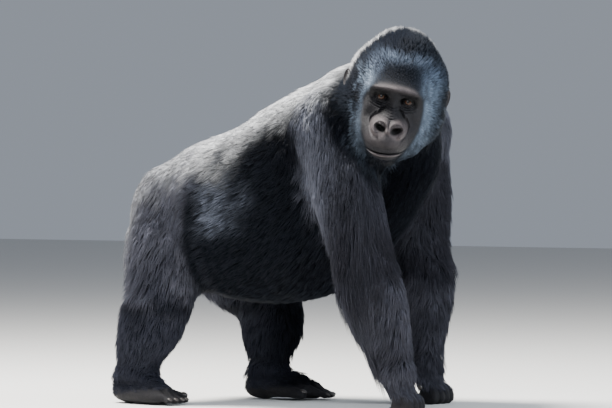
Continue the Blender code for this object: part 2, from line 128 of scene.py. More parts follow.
bpy.ops.object.select_all(action="DESELECT")
bpy.ops.mesh.primitive_plane_add(size=FLOOR_SIZE, location=(0, 0, FLOOR_LEVEL))
floor = bpy.context.object
floor.name = "floor"
floor_paint = bpy.data.materials.new("pale floor")
floor_paint.use_nodes = True
floor_surface = floor_paint.node_tree.nodes["Principled BSDF"]
floor_surface.inputs["Base Color"].default_value = FLOOR_COLOUR
floor_surface.inputs["Roughness"].default_value = FLOOR_ROUGHNESS
floor.data.materials.append(floor_paint)
print("camera at", [round(v, 2) for v in camera.location])

# %% [markdown]
# ## Where things are
#
# The eyes give the place of the head. Its frame has its origin between the ears, -Y is the way the face
# looks, and its unit is a little under a metre, so one number sizes the whole head. The last joint of each
# limb says where its hand or foot stands, and how high its wrist or ankle is.

# %% Head frame and joints
HEAD_TURN = math.radians(-60)
HEAD_NOD = math.radians(7)
HEAD_TILT = math.radians(12.5)
HEAD_SIZE = 0.92
EYE_APART = 0.0400
EYE_DEPTH = -0.1180
EYE_RADIUS = 0.0155


def middle_of(node):
    low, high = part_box(node)
    return (Vector(low) + Vector(high)) / 2


head_turned = Matrix.Rotation(HEAD_TURN, 4, "Z") @ Matrix.Rotation(HEAD_NOD, 4, "X")
head_turned = head_turned @ Matrix.Rotation(HEAD_TILT, 4, "Y")
eyes_middle = (middle_of("eye_left") + middle_of("eye_right")) / 2
head_origin = eyes_middle - head_turned @ Vector((0, EYE_DEPTH * HEAD_SIZE, 0))
HEAD = Matrix.Translation(head_origin) @ head_turned @ Matrix.Scale(HEAD_SIZE, 4)
FROM_HEAD = np.array(HEAD)
TO_HEAD = np.array(HEAD.inverted())

WRISTS = {"right": (-0.237, -0.452, 0.116), "left": (0.236, -0.262, 0.116)}
ANKLES = {"right": (-0.177, 0.446, 0.078), "left": (0.193, 0.234, 0.078)}


def moved(places, matrix):
    """Places, as rows of an array, put through a 4 by 4 matrix."""
    return places @ matrix[:3, :3].T + matrix[:3, 3]


print("head origin", [round(v, 3) for v in head_origin])

# %% [markdown]
# ## Tools for modelling
#
# A few helpers say what is done by hand in Blender: select one object, apply one modifier, draw a round tube
# through a few joints. The tube is a row of rings with a bulge at each end, and stands for a bone with its
# flesh.


# %% Helpers
def only(thing):
    """Selects one object and nothing else."""
    bpy.ops.object.select_all(action="DESELECT")
    thing.select_set(True)
    bpy.context.view_layer.objects.active = thing


def apply_modifier(thing, kind, **settings):
    """Adds one modifier with its settings and applies it."""
    only(thing)
    step = thing.modifiers.new(kind, kind)
    for name, value in settings.items():
        setattr(step, name, value)
    bpy.ops.object.modifier_apply(modifier=step.name)


def read(items, field, wide, kind=float):
    """One field of many items, as rows of an array."""
    flat = np.empty(len(items) * wide, kind)
    items.foreach_get(field, flat)
    return flat.reshape(-1, wide)


def places_of(thing):
    """The vertices of an object, as rows of an array."""
    return read(thing.data.vertices, "co", 3)


def set_places(thing, places):
    thing.data.vertices.foreach_set("co", np.ascontiguousarray(places).ravel())
    thing.data.update()


def normals_of(thing):
    return read(thing.data.vertex_normals, "vector", 3)


def head_places(thing):
    """The vertices of an object, in the head's frame."""
    return moved(places_of(thing), TO_HEAD)


def hill(distance, width):
    """1 at distance 0, falling away over a width."""
    return np.exp(-((distance / width) ** 2))


def smooth_step(value, low, high):
    """0 below low, 1 above high, and an even slope between."""
    share = np.clip((value - low) / (high - low), 0, 1)
    return share * share * (3 - 2 * share)


def falling(value, low, high):
    """1 below low, 0 above high, and an even slope between."""
    return 1 - smooth_step(value, low, high)


def tube(name, joints, radii, flat=1.0, sides=14, rings=12):
    """A closed round tube along a smooth line through its joints. flat squeezes it fore and aft."""
    joints = [Vector(j) for j in joints]
    rows = []
    for i in range(rings):
        share = i / (rings - 1) * (len(joints) - 1)
        k = min(int(share), len(joints) - 2)
        t = share - k
        before = joints[max(k - 1, 0)]
        after = joints[min(k + 2, len(joints) - 1)]
        a, b = joints[k], joints[k + 1]
        centre = a.lerp(b, t) + (b - before - (after - a)) * t * (1 - t) * 0.25
        radius = radii[k] * (1 - t) + radii[k + 1] * t
        rows.append((centre, radius))
    first, last = rows[0], rows[-1]
    start = (first[0] - rows[1][0]).normalized()
    end = (last[0] - rows[-2][0]).normalized()
    caps = [(0.95, 0.32), (0.78, 0.63), (0.45, 0.90)]
    head_caps = [(first[0] + start * first[1] * out, first[1] * wide) for wide, out in reversed(caps)]
    tail_caps = [(last[0] + end * last[1] * out, last[1] * wide) for wide, out in caps]
    rows = head_caps + rows + tail_caps
    shape = bmesh.new()
    loops = []
    for i, (centre, radius) in enumerate(rows):
        ahead = (rows[min(i + 1, len(rows) - 1)][0] - rows[max(i - 1, 0)][0]).normalized()
        side = Vector((1, 0, 0))
        side = (side - ahead * ahead.dot(side)).normalized()
        front = ahead.cross(side)
        loop = []
        for s in range(sides):
            angle = math.tau * s / sides
            place = centre + side * math.cos(angle) * radius + front * math.sin(angle) * radius * flat
            loop.append(shape.verts.new(place))
        loops.append(loop)
    for lower, upper in zip(loops, loops[1:]):
        for s in range(sides):
            n = (s + 1) % sides
            shape.faces.new((lower[s], lower[n], upper[n], upper[s]))
    shape.faces.new(list(reversed(loops[0])))
    shape.faces.new(loops[-1])
    bmesh.ops.recalc_face_normals(shape, faces=shape.faces)
    data = bpy.data.meshes.new(name)
    shape.to_mesh(data)
    shape.free()
    return put_in_scene(name, data)


def new_ball(name, segments, rings, radius=1.0):
    """A round ball at the origin, with which nails, eyes and ears are started."""
    bpy.ops.object.select_all(action="DESELECT")
    bpy.ops.mesh.primitive_uv_sphere_add(segments=segments, ring_count=rings, radius=radius)
    bpy.context.object.name = name
    return bpy.context.object


def joined(name, things):
    """Several objects made one."""
    bpy.ops.object.select_all(action="DESELECT")
    for thing in things:
        thing.select_set(True)
    bpy.context.view_layer.objects.active = things[0]
    bpy.ops.object.join()
    whole = bpy.context.object
    whole.name = name
    return whole


# %% [markdown]
# ## Hands and feet
#
# A gorilla walks on the middle bones of its folded fingers. The back of the hand stands upright in line with
# the forearm, the first finger bones slope forward, the middle bones lie on the floor and the tips point
# back under the palm. The foot is flat, with a heel, a broad sole, four short toes and a big toe that stands
# off like a thumb. Each bone is a tube, and the voxel remesh of the next step melts the tubes together.

# %% Hands and feet
FINGER_PITCH = 0.0235
FINGER_SHARES = (0.94, 1.0, 1.0, 0.9)
TOE_PITCH = 0.0205
BIG_TOE = ((-0.018, -0.020, 0.034), (-0.054, -0.080, 0.026), (-0.070, -0.130, 0.0165))
THUMB = ((-0.038, 0.014, 0.105), (-0.056, 0.004, 0.076), (-0.055, -0.008, 0.048))


def finger_bones(i):
    """Joints of one finger of the left hand: knuckle, two folded joints, tip. The little finger is 0."""
    across = (1.5 - i) * FINGER_PITCH
    share = FINGER_SHARES[i]
    return (
        (across * 0.96, -0.006, 0.062),
        (across * 1.02, -0.036 * share, 0.042),
        (across * 1.05, -0.047 * share, 0.0140),
        (across * 1.03, -0.016 * share, 0.0118),
        (across * 0.98, 0.006, 0.022),
    )


def toe_bones(i):
    """Joints of one of the four short toes of the left foot. The little toe is 0."""
    across = 0.006 + (1.5 - i) * TOE_PITCH
    length = 0.056 - 0.004 * abs(i - 2)
    return (
        (across * 0.95, -0.128, 0.024),
        (across, -0.135 - length * 0.5, 0.021),
        (across, -0.135 - length, 0.0115),
    )


def stand(side_name, x, y, turn):
    """Where a left limb, turned outwards by degrees, stands on the floor. The right one is its mirror."""
    side = SIDES[side_name]
    turned = Matrix.Translation((x, y, 0)) @ Matrix.Rotation(math.radians(turn * side), 4, "Z")
    return turned @ Matrix.Diagonal((side, 1, 1, 1))


def hand_stand(side_name):
    x, y, _ = WRISTS[side_name]
    return stand(side_name, x, y - 0.012, -4)


def foot_stand(side_name):
    x, y, _ = ANKLES[side_name]
    return stand(side_name, x, y, 12)


def set_down(things, side_name, place):
    """Puts pieces written for the left limb where that limb stands."""
    for thing in things:
        thing.data.transform(place)
        if SIDES[side_name] < 0:
            thing.data.flip_normals()
    return things


def at_hand(things, side_name):
    return set_down(things, side_name, hand_stand(side_name))


def at_foot(things, side_name):
    return set_down(things, side_name, foot_stand(side_name))


def hand(side_name):
    z = WRISTS[side_name][2]
    palm = ((0, 0.010, z + 0.03), (0, 0.004, 0.088), (0, -0.010, 0.050), (0, -0.012, 0.034))
    wrist = ((0, 0.018, z + 0.070), (0, 0.012, z), (0, 0.004, 0.082))
    found = [
        tube("palm", palm, (0.046, 0.048, 0.048, 0.046), flat=0.66),
        tube("wrist", wrist, (0.058, 0.055, 0.046), flat=0.95),
        tube("inner palm", ((-0.022, -0.006, 0.034), (0.022, -0.006, 0.034)), (0.020, 0.020)),
        tube("thumb", THUMB, (0.015, 0.0125, 0.0095)),
    ]
    for i in range(4):
        bones = finger_bones(i)
        found.append(tube("finger", bones, (0.0128, 0.0128, 0.0135, 0.0122, 0.0100), rings=18))
        found.append(tube("knuckle", (bones[1], bones[1]), (0.0142, 0.0142), rings=2))
    return at_hand(found, side_name)


def foot(side_name):
    z = ANKLES[side_name][2]
    instep = ((0, 0.012, z), (0, -0.060, 0.050), (0.006, -0.140, 0.026))
    outer_edge = ((0.020, 0.010, 0.026), (0.030, -0.070, 0.024), (0.034, -0.140, 0.019))
    found = [
        tube("heel", ((0, 0.030, 0.041), (0, 0.006, 0.040)), (0.039, 0.042)),
        tube("instep", instep, (0.042, 0.041, 0.026)),
        tube("outer edge", outer_edge, (0.024, 0.022, 0.017)),
        tube("ball", ((-0.022, -0.120, 0.024), (0.036, -0.135, 0.020)), (0.022, 0.018)),
        tube("big toe", BIG_TOE, (0.028, 0.0185, 0.0150)),
    ]
    for i in range(4):
        found.append(tube("toe", toe_bones(i), (0.0118, 0.0112, 0.0098)))
    return at_foot(found, side_name)


def between_digits(places):
    """1 in the grooves between fingers and between toes, for places in the world."""
    deepest = np.zeros(len(places))
    for side_name in SIDES:
        for place, middle, pitch, ahead, top in (
            (hand_stand(side_name), 0.0, FINGER_PITCH * 1.02, -0.004, 0.066),
            (foot_stand(side_name), 0.006, TOE_PITCH, -0.128, 0.045),
        ):
            x, y, z = moved(places, np.array(place.inverted())).T
            count = (x - middle) / pitch
            groove = hill(count - np.round(count), 0.17) * (np.abs(count) < 1.5) * (np.abs(x) < 0.10)
            groove *= falling(y, ahead - 0.004, ahead + 0.006) * (y > -0.25) * (z < top)
            deepest = np.maximum(deepest, groove)
    return deepest


extremities = []
for side_name in SIDES:
    extremities += hand(side_name) + foot(side_name)
print(len(extremities), "tubes for hands and feet")

# %% [markdown]
# ## Nails
#
# A gorilla has flat nails, not claws. Each is a curved plate that lies on the tip of a finger or a toe. It is
# the upper part of a flattened ball, cut off by one bisect, and it stands a little out of the skin. The nails
# of one hand or foot are one piece.


# %% Nails
def nail(tip, height, along, out, size):
    """A curved plate, lifted off a tip. Its free edge points along, and its upper side faces out."""
    plate = new_ball("nail", 20, 12)
    bpy.ops.object.mode_set(mode="EDIT")
    bpy.ops.mesh.select_all(action="SELECT")
    bpy.ops.mesh.bisect(plane_co=(0, 0, 0.05), plane_no=(0, 0, 1), use_fill=True, clear_inner=True)
    bpy.ops.object.mode_set(mode="OBJECT")
    bpy.ops.object.shade_smooth_by_angle(angle=math.radians(50))
    out = Vector(out).normalized()
    along = (Vector(along) - out * out.dot(Vector(along))).normalized()
    turned = Matrix((along.cross(out), along, out)).transposed().to_4x4()
    place = Vector(tip) + out * height
    plate.data.transform(Matrix.Translation(place) @ turned @ Matrix.Diagonal((*size, 1)))
    return plate


# Each row: the tip, how far the nail stands off it, where its edge points, where it faces, and its size.
NAIL = (0.0070, 0.0080, 0.0046)
HAND_NAILS = [(THUMB[-1], 0.0058, (0, -0.4, -1), (-1, -0.3, 0), (0.0065, 0.0075, 0.0044))]
HAND_NAILS += [(finger_bones(i)[-1], 0.0058, (0, 1, 0.45), (0, 0.45, -0.9), NAIL) for i in range(4)]
FOOT_NAILS = [(BIG_TOE[-1], 0.0102, (-0.3, -1, -0.3), (-0.1, -0.45, 1), (0.0105, 0.0105, 0.0062))]
FOOT_NAILS += [(toe_bones(i)[-1], 0.0056, (0, -1, -0.55), (0, -0.55, 1), NAIL) for i in range(4)]

nails = []
for side_name in SIDES:
    for limb, rows, put in (("hand", HAND_NAILS, at_hand), ("foot", FOOT_NAILS, at_foot)):
        found = put([nail(*row) for row in rows], side_name)
        nails.append(joined(f"nails_of_the_{limb}_{side_name}", found))
print(len(nails), "pieces of nails")

# %% [markdown]
# ## One skin over the whole body
#
# The solids are parted by thin cuts, and one skin has to cover them with no seam. So copies of them are
# joined with the new hands and feet and melted by a voxel remesh, whose cells are wider than the cuts. The
# flat facets are smoothed away, then the face is divided finer than the rest, because folds, lids and
# nostrils need points of a millimetre or two there.

# %% The surface of the solids
def surface_of(kinds):
    """A search tree over the solids of these kinds, and the index of the kind that owns each triangle."""
    points, triangles, owner = [], [], []
    for name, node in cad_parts.items():
        kind = name.removesuffix("_left").removesuffix("_right")
        if kind not in kinds:
            continue
        start = len(points)
        points += [v.co for v in node.data.vertices]
        triangles += [[start + i for i in face.vertices] for face in node.data.polygons]
        owner += [kinds.index(kind)] * len(node.data.polygons)
    return BVHTree.FromPolygons(points, triangles), owner


def relaxed(thing, rows, steps):
    """Values at the points of a mesh, evened out over their neighbours."""
    edges = read(thing.data.edges, "vertices", 2, int)
    count = np.bincount(edges.ravel(), minlength=len(rows))[:, None]
    for _ in range(steps):
        total = np.zeros_like(rows)
        for c in range(rows.shape[1]):
            total[:, c] += np.bincount(edges[:, 0], rows[edges[:, 1], c], len(rows))
            total[:, c] += np.bincount(edges[:, 1], rows[edges[:, 0], c], len(rows))
        rows = 0.5 * rows + 0.5 * total / np.maximum(count, 1)
    return rows


# %% Melt the body into one skin
SKIN_VOXEL = 0.0096
copies = []
for name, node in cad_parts.items():
    if name.startswith(("ear", "hand", "foot")):
        continue
    twin = node.copy()
    twin.data = node.data.copy()
    twin.parent = None
    for key in list(twin.keys()):
        del twin[key]
    bpy.context.scene.collection.objects.link(twin)
    copies.append(twin)
skin = joined("skin", copies + extremities)
bpy.ops.object.mode_set(mode="EDIT")
bpy.ops.mesh.select_all(action="SELECT")
bpy.ops.mesh.remove_doubles(threshold=0.00001)
bpy.ops.object.mode_set(mode="OBJECT")
apply_modifier(skin, "REMESH", mode="VOXEL", voxel_size=SKIN_VOXEL)
print("skin after the remesh:", len(skin.data.polygons), "faces")


# %% The face's own measure of where it is
def face_distance(places):
    """How far places in the head's frame lie from the middle of the bare face: 1 is its edge."""
    x, _, z = places.T
    across = np.abs(x) / (0.092 - 0.10 * np.clip(-z - 0.06, 0, 0.2))
    up = np.where(z > -0.06, (z + 0.06) / 0.1120, (-z - 0.06) / 0.122)
    square = 2.0 + 1.2 * (z > -0.06)
    return (across**square + up**square) ** (1 / square)


def face_share(places):
    """1 on the bare face and 0 away from it, for places in the head's frame."""
    return falling(face_distance(places), 0.88, 1.04) * (places[:, 1] < -0.035)


# %% Smooth the facets and divide the face
def smoothed(thing, steps, hold):
    """Relaxes the mesh. hold is 1 where a vertex stays as it is."""
    group = thing.vertex_groups.new(name="free")
    for level in range(5):
        wanted = np.flatnonzero(np.round((1 - hold) * 4).astype(int) == level)
        if level:
            group.add(wanted.tolist(), level / 4, "REPLACE")
    apply_modifier(thing, "SMOOTH", factor=0.5, iterations=steps, vertex_group="free")
    thing.vertex_groups.clear()


def divided(thing, wanted):
    """Divides the faces whose corners are all wanted, once."""
    only(thing)
    thing.data.polygons.foreach_set("select", [False] * len(thing.data.polygons))
    thing.data.edges.foreach_set("select", [False] * len(thing.data.edges))
    thing.data.vertices.foreach_set("select", wanted.tolist())
    bpy.ops.object.mode_set(mode="EDIT")
    bpy.ops.mesh.select_mode(type="VERT")
    bpy.ops.mesh.subdivide(number_cuts=1, smoothness=0)
    bpy.ops.object.mode_set(mode="OBJECT")


FLESH = ["head", "neck", "chest", "belly", "rump", "upper_arm", "forearm", "thigh", "shin"]
FACET_STEPS = 14
MOST_SHRUNK = 0.004
MOST_BLOWN_UP = 0.012
DIGITS_TOP = 0.075
GROOVE_DEPTH = 0.0046

near_face = face_share(head_places(skin))
low_down = falling(places_of(skin)[:, 2], 0.07, 0.13)
smoothed(skin, FACET_STEPS, np.maximum(near_face, low_down))

# smoothing shrinks round limbs, so the skin is blown up again to the mean level of the solids
flesh_tree, _ = surface_of(FLESH)
places = places_of(skin)
shortfall = np.zeros((len(places), 1))
for i, place in enumerate(places.tolist()):
    spot, slope, _, _ = flesh_tree.find_nearest(place)
    shortfall[i] = (spot - Vector(place)).dot(slope)
free = (1 - np.maximum(near_face, low_down))[:, None]
shortfall = relaxed(skin, np.clip(shortfall, -MOST_SHRUNK, MOST_BLOWN_UP) * free, 6)
set_places(skin, places + normals_of(skin) * shortfall)
print("skin blown up by", (1000 * shortfall.mean()).round(2), "mm in the mean")
for _ in range(2):
    divided(skin, face_share(head_places(skin)) > 0.02)
divided(skin, places_of(skin)[:, 2] < DIGITS_TOP)
places = places_of(skin)
set_places(skin, places - normals_of(skin) * between_digits(places)[:, None] * GROOVE_DEPTH)
print("skin after dividing:", len(skin.data.polygons), "faces")


# %% [markdown]
# ## The face
#
# A gorilla's brow is one heavy ridge over both eyes. The nose is broad and flat with flared wings that meet
# in the middle and join the upper lip, the lips are long and thin, and folds run under the eyes and beside
# the nose. In sculpting this is done with a brush: each stroke moves the points under it, less and less
# towards its rim. The helper press is that brush, and strokes in a row draw a ridge or a fold. First the
# finer mesh is laid back on the solid of the head, which the coarse remesh had blurred.

# %% Lay the face on the solid head
MUZZLE_FROM = -0.10
head_tree, _ = surface_of(["head"])
places = places_of(skin)
at_head = head_places(skin)
share = face_share(at_head)
eye_places = np.array([[side * EYE_APART, EYE_DEPTH, 0] for side in SIDES.values()])
off_eyes = np.ones(len(places))
for eye_place in eye_places:
    from_eye = np.linalg.norm(at_head - eye_place, axis=1)
    off_eyes *= smooth_step(from_eye, EYE_RADIUS * 1.10, EYE_RADIUS * 1.6)
weight = smooth_step(share, 0.0, 0.5) * off_eyes
laid = places.copy()
for i in np.flatnonzero(weight > 0):
    laid[i] = head_tree.find_nearest(Vector(places[i]))[0]
set_places(skin, places + (laid - places) * weight[:, None])
smoothed(skin, 5, 1 - (share > 0.01))
divided(skin, (face_share(head_places(skin)) > 0.5) & (head_places(skin)[:, 1] < MUZZLE_FROM))
smoothed(skin, 2, 1 - (face_share(head_places(skin)) > 0.4))
print("skin after the face:", len(skin.data.polygons), "faces")

# %% The brush
FRONT = -0.060
# Each brush: its radii across and up, and how deep a stroke presses. A negative depth raises a ridge.
BRUSHES = {
    "brow": (0.018, 0.0135, -0.0052),
    "socket": (0.013, 0.0085, 0.0046),
    "fold under the eye": (0.010, 0.0024, 0.0022),
    "long fold": (0.0028, 0.011, 0.0026),
    "wing": (0.0098, 0.0098, -0.0100),
    "nostril": (0.0118, 0.0112, 0.0170),
    "crease by the wing": (0.0055, 0.0085, 0.0056),
    "top of the nose": (0.0100, 0.0140, 0.0022),
    "between the wings": (0.0060, 0.0130, 0.0034),
    "bridge": (0.012, 0.014, -0.0016),
    "fold of the bridge": (0.008, 0.0020, 0.0012),
    "line of the mouth": (0.0070, 0.0034, 0.0048),
    "upper lip": (0.010, 0.0085, -0.0014),
    "lower lip": (0.010, 0.0060, -0.0046),
    "above the chin": (0.010, 0.0075, 0.0018),
}
face_at = head_places(skin)


def press(centre, radii, push):
    """One stroke: points of the front whose place lies within two radii, across and up, move by push."""
    centre, radii = np.array(centre), np.array(radii)
    away = (((face_at[:, (0, 2)] - centre) / radii) ** 2).sum(axis=1)
    away += 4 * (face_at[:, 1] > FRONT)
    face_at[:] += (np.clip(1 - away, 0, 1) ** 2)[:, None] * np.array(push)


def stroke(brush, line, lighter=0.0, lift=0.0):
    """A row of presses along a line of places, closer together than the brush is wide."""
    wide, high, depth = BRUSHES[brush]
    push = np.array((0, depth - lighter, lift)) / 2.2
    line = [Vector(place).to_2d() for place in line]
    for a, b in zip(line, line[1:]):
        steps = max(int((b - a).length / (min(wide, high) * 0.45)), 1)
        for k in range(steps):
            press(a.lerp(b, k / steps), (wide, high), push)


print(len(BRUSHES), "brushes for", len(face_at), "points")

# %% Sculpt the face
BROW_LEVEL = 0.0345
BROW_FALL = 0.9
SOCKET_LEVEL = 0.0165
NOSE_LEVEL = -0.0815
WING_LEVEL = NOSE_LEVEL + 0.0020
WING_MIDDLE = 0.0255
WING_WIDE = 0.0235
WING_HIGH = 0.0225
MOUTH_LEVEL = -0.1540
MOUTH_LEAN = 0.09
MOUTH_CURVE = 2.0
MOUTH_REACH = 0.060


def mouth_level(x):
    """The height of the mouth's line across the face, turned up at its ends and a little more at one."""
    return MOUTH_LEVEL + MOUTH_LEAN * x + MOUTH_CURVE * x * x


for side in SIDES.values():
    # brow ridge and the hollow of the socket under it
    brow = [(side * x, BROW_LEVEL - BROW_FALL * x * x) for x in (0.0, 0.015, 0.030, 0.050, 0.070, 0.086)]
    stroke("brow", brow)
    socket = [(side * x, SOCKET_LEVEL - 0.5 * x * x) for x in (0.016, 0.030, 0.050, 0.066)]
    stroke("socket", socket)
    # folds under the eye
    for fold, drop in enumerate((0.0165, 0.0225, 0.0300)):
        line = [
            (side * (EYE_APART - 0.020), -drop + 0.004),
            (side * (EYE_APART - 0.004), -drop - 0.002),
            (side * (EYE_APART + 0.012), -drop + 0.001),
            (side * (EYE_APART + 0.026), -drop + 0.009),
        ]
        stroke("fold under the eye", line, lighter=0.0003 * fold)
    # long folds from the inner corner of the eye down beside the nose
    for fold in range(4):
        top = 0.015 + 0.0050 * fold
        drop = 0.018 + 0.0045 * fold
        line = [(side * (top + 0.011 * k), -drop - 0.018 * k) for k in range(3)]
        stroke("long fold", line)
    # wing of the nose: a thick rim that curls round the nostril, and the crease outside it
    rim = []
    for k in range(13):
        angle = math.radians(-60 + 275 * k / 12)
        across = WING_MIDDLE + WING_WIDE * math.cos(angle)
        rim.append((side * across, WING_LEVEL + WING_HIGH * math.sin(angle)))
    stroke("wing", rim)
    nostril = ((0.0345, 0.0040), (0.0235, 0), (0.0135, -0.0045))
    nostril = [(side * x, NOSE_LEVEL + rise) for x, rise in nostril]
    stroke("nostril", nostril, lift=0.0015)
    crease = ((0.0440, -0.048), (0.0555, -0.066), (0.0545, -0.088), (0.0420, -0.108))
    crease = [(side * x, level) for x, level in crease]
    stroke("crease by the wing", crease)
# the crease between the wings, the bridge above it and the folds across the bridge
stroke("top of the nose", [(0, -0.050), (0, -0.060)])
stroke("between the wings", [(0, -0.064), (0, -0.086)])
stroke("bridge", [(0, 0.000), (0, -0.030)])
for k in range(5):
    level = -0.024 - 0.0075 * k
    stroke("fold of the bridge", [(-0.015, level + 0.005), (0, level), (0.015, level + 0.005)])
# the mouth: its line, the roll of the upper lip, that of the lower lip, and the hollow above the chin
mouth = [(x, mouth_level(x)) for x in np.linspace(-MOUTH_REACH, MOUTH_REACH, 13)]
for brush, width, rise in (
    ("line of the mouth", 1.00, 0),
    ("upper lip", 1.00, 0.0100),
    ("lower lip", 0.86, -0.0075),
    ("above the chin", 0.80, -0.0210),
):
    stroke(brush, [(x * width, z + rise) for x, z in mouth])
print("face pressed in by up to", round(1000 * (face_at - head_places(skin))[:, 1].max(), 1), "mm")

# %% [markdown]
# ## Eyelids
#
# Lids lie on the eyeball. Points near an eye are moved in depth on to a ball a little larger than the eye,
# and those inside the almond-shaped opening are sunk behind the front of the eye, so the eye shows there.
# The rim of the opening is raised, as the thick edge of a lid is.

# %% Lids on the eyeballs
LID_THICKNESS = 0.0016
LID_RIM = 0.0006
LID_RIM_WIDTH = 0.0016
LID_SLANT = 0.04
LIDS_LOWER = 0.0008
OPEN_ABOVE = 0.80
OPEN_BELOW = 0.86
OPENING = (0.0146, 0.0078)
LIDS_FRONT = EYE_DEPTH + 0.012
HIDDEN_AT = EYE_RADIUS * 0.55
for eye_place in eye_places:
    side = math.copysign(1, eye_place[0])
    across, _, up = (face_at - eye_place).T
    across = across * side
    lean = up + LID_SLANT * across + LIDS_LOWER
    arch = np.where(lean > 0, OPENING[1] * OPEN_ABOVE, OPENING[1] * OPEN_BELOW)
    shape = np.clip(1 - (np.abs(across) / OPENING[0]) ** 2.0, 0, 1) ** 0.62
    inside = np.abs(lean) / np.maximum(arch * shape, 1e-6)
    reach = np.sqrt((across / (OPENING[0] * 1.75)) ** 2 + (lean / (OPENING[1] * 2.1)) ** 2)
    front = face_at[:, 1] < LIDS_FRONT
    ball = EYE_RADIUS + LID_THICKNESS
    flat = np.sqrt(np.clip(ball**2 - across**2 - up**2, 0, None))
    on_ball = eye_place[1] - flat
    between_corners = np.abs(across) < OPENING[0]
    on_ball -= LID_RIM * hill(np.abs(lean) - arch * shape, LID_RIM_WIDTH) * between_corners
    blend = falling(reach, 0.62, 1.0) * front
    face_at[:, 1] += (on_ball - face_at[:, 1]) * blend
    sunk = falling(inside, 0.90, 1.06) * between_corners * front * (reach < 1)
    face_at[:, 1] += (eye_place[1] - HIDDEN_AT - face_at[:, 1]) * sunk
set_places(skin, moved(face_at, FROM_HEAD))
only(skin)
bpy.ops.object.shade_smooth()
print("face sculpted, mesh of", len(skin.data.vertices), "points")

# %% Eyeballs
EYEBALL = EYE_RADIUS * 0.985 * HEAD_SIZE
eyes = {}
for side_name in SIDES:
    eye = new_ball("eyeball_" + side_name, 48, 32, EYEBALL)
    eye.location = middle_of("eye_" + side_name)
    bpy.ops.object.transform_apply(location=True, rotation=False, scale=False)
    bpy.ops.object.shade_smooth()
    eyes[side_name] = eye
print("eyeballs of", round(2000 * EYEBALL, 1), "mm across")

# %% [markdown]
# ## Ears
#
# The ear is small, bare and close to the head, like a person's: a rolled rim, a second ridge inside it, a
# deep bowl in front, and a small flap before the bowl. It is a ball, pressed flat, whose outer side takes
# its relief from a few sums of round hills and hollows. Its inner side runs into the head as a root.

# %% Ears
EAR_PLACE = (0.1455, 0.006, 0.016)
EAR_WIDE = 0.0225
EAR_HIGH = 0.0300
EAR_TURN = -24
EAR_LEAN = -12
EAR_RIM = 0.0052
EAR_INNER_RIDGE = 0.0034
EAR_BOWL = 0.0075
EAR_FLAP = 0.0040
EAR_EDGE = 0.0030
EAR_BACK = 0.0035
EAR_ROOT = 0.026


def ear(side_name):
    side = SIDES[side_name]
    shell = new_ball("ear_skin_" + side_name, 96, 64)
    bpy.ops.object.shade_smooth()
    out, back, up = places_of(shell).T
    from_middle = np.hypot(back, up)
    behind = smooth_step(back + 0.5 * up, -0.55, 0.10)
    inner_ridge = np.hypot(back - 0.02, up + 0.05)
    bowl = np.hypot(back + 0.14, (up + 0.12) * 0.85)
    relief = EAR_RIM * hill(from_middle - 0.88, 0.11) * (0.35 + 0.65 * behind)
    relief += EAR_INNER_RIDGE * hill(inner_ridge - 0.56, 0.12) * behind
    relief -= EAR_BOWL * falling(bowl, 0.20, 0.52)
    relief += EAR_FLAP * hill(np.hypot(back + 0.62, up + 0.12), 0.20)
    outer = relief * smooth_step(out, 0.0, 0.35) + EAR_EDGE * np.sqrt(np.clip(out, 0, 1))
    root = -EAR_BACK * np.sqrt(np.clip(-out, 0, 1)) - EAR_ROOT * falling(from_middle, 0.35, 0.75)
    depth = np.where(out >= 0, outer, root * smooth_step(-out, 0.0, 0.4))
    lobe = 1 - 0.18 * smooth_step(-up, 0.3, 1.0)
    set_places(shell, np.stack([depth * side, back * EAR_WIDE * lobe, up * EAR_HIGH], axis=1))
    if side < 0:
        shell.data.flip_normals()
    turned = Matrix.Rotation(math.radians(EAR_TURN * side), 4, "Z")
    turned = turned @ Matrix.Rotation(math.radians(EAR_LEAN), 4, "X")
    place = Matrix.Translation((EAR_PLACE[0] * side, EAR_PLACE[1], EAR_PLACE[2]))
    shell.data.transform(HEAD @ place @ turned)
    return shell


ears = {side_name: ear(side_name) for side_name in SIDES}
print("ears of", len(ears["left"].data.vertices), "points")


# %% [markdown]
# ## Which part of the body a point belongs to
#
# The length, the depth and the lie of the coat change from part to part. Each point of the skin takes the
# values of the nearest solid, and the values are then relaxed over the mesh, so that they change gently from
# one part to the next. On the head they follow from the place in the head's frame.

# %% The coat's values, part by part
# Each row: length of the hair, depth of the coat, width of a tuft, tufts per square centimetre, and the lie.
# A fifth value joins the first four later: how far a tuft stands off the skin, as a share of the depth.
COAT = {
    "head": (0.028, 0.013, 0.00125, 36.0, (0, 0, 0)),
    "neck": (0.045, 0.018, 0.0021, 6.0, (0.2, 0.9, -0.5)),
    "chest": (0.044, 0.016, 0.0023, 5.1, (0, 0.80, -0.60)),
    "belly": (0.046, 0.017, 0.0024, 4.9, (0, 0.90, -0.42)),
    "rump": (0.046, 0.017, 0.0024, 5.3, (0, 0.60, -0.80)),
    "upper_arm": (0.056, 0.021, 0.0024, 5.3, (0, -0.10, -1.0)),
    "forearm": (0.058, 0.020, 0.0024, 5.5, (0, 0.25, -1.0)),
    "hand": (0.024, 0.005, 0.0016, 8.0, (0, -0.2, -1.0)),
    "thigh": (0.052, 0.018, 0.0024, 5.6, (0, 0.25, -1.0)),
    "shin": (0.046, 0.017, 0.0023, 5.6, (0, 0.30, -1.0)),
    "foot": (0.018, 0.004, 0.0015, 8.0, (0, -0.9, -0.4)),
}
LENGTH, DEPTH, WIDTH, COUNT, STAND = range(5)
PART = {name: i for i, name in enumerate(COAT)}
ELBOW = (0.26, 0.24, 0.40)
THIGH_FRINGE_LEVEL = 0.39
FRINGE_STAND = 1.1
FRINGE_LENGTH = 0.30
OUTWARDS = 0.12
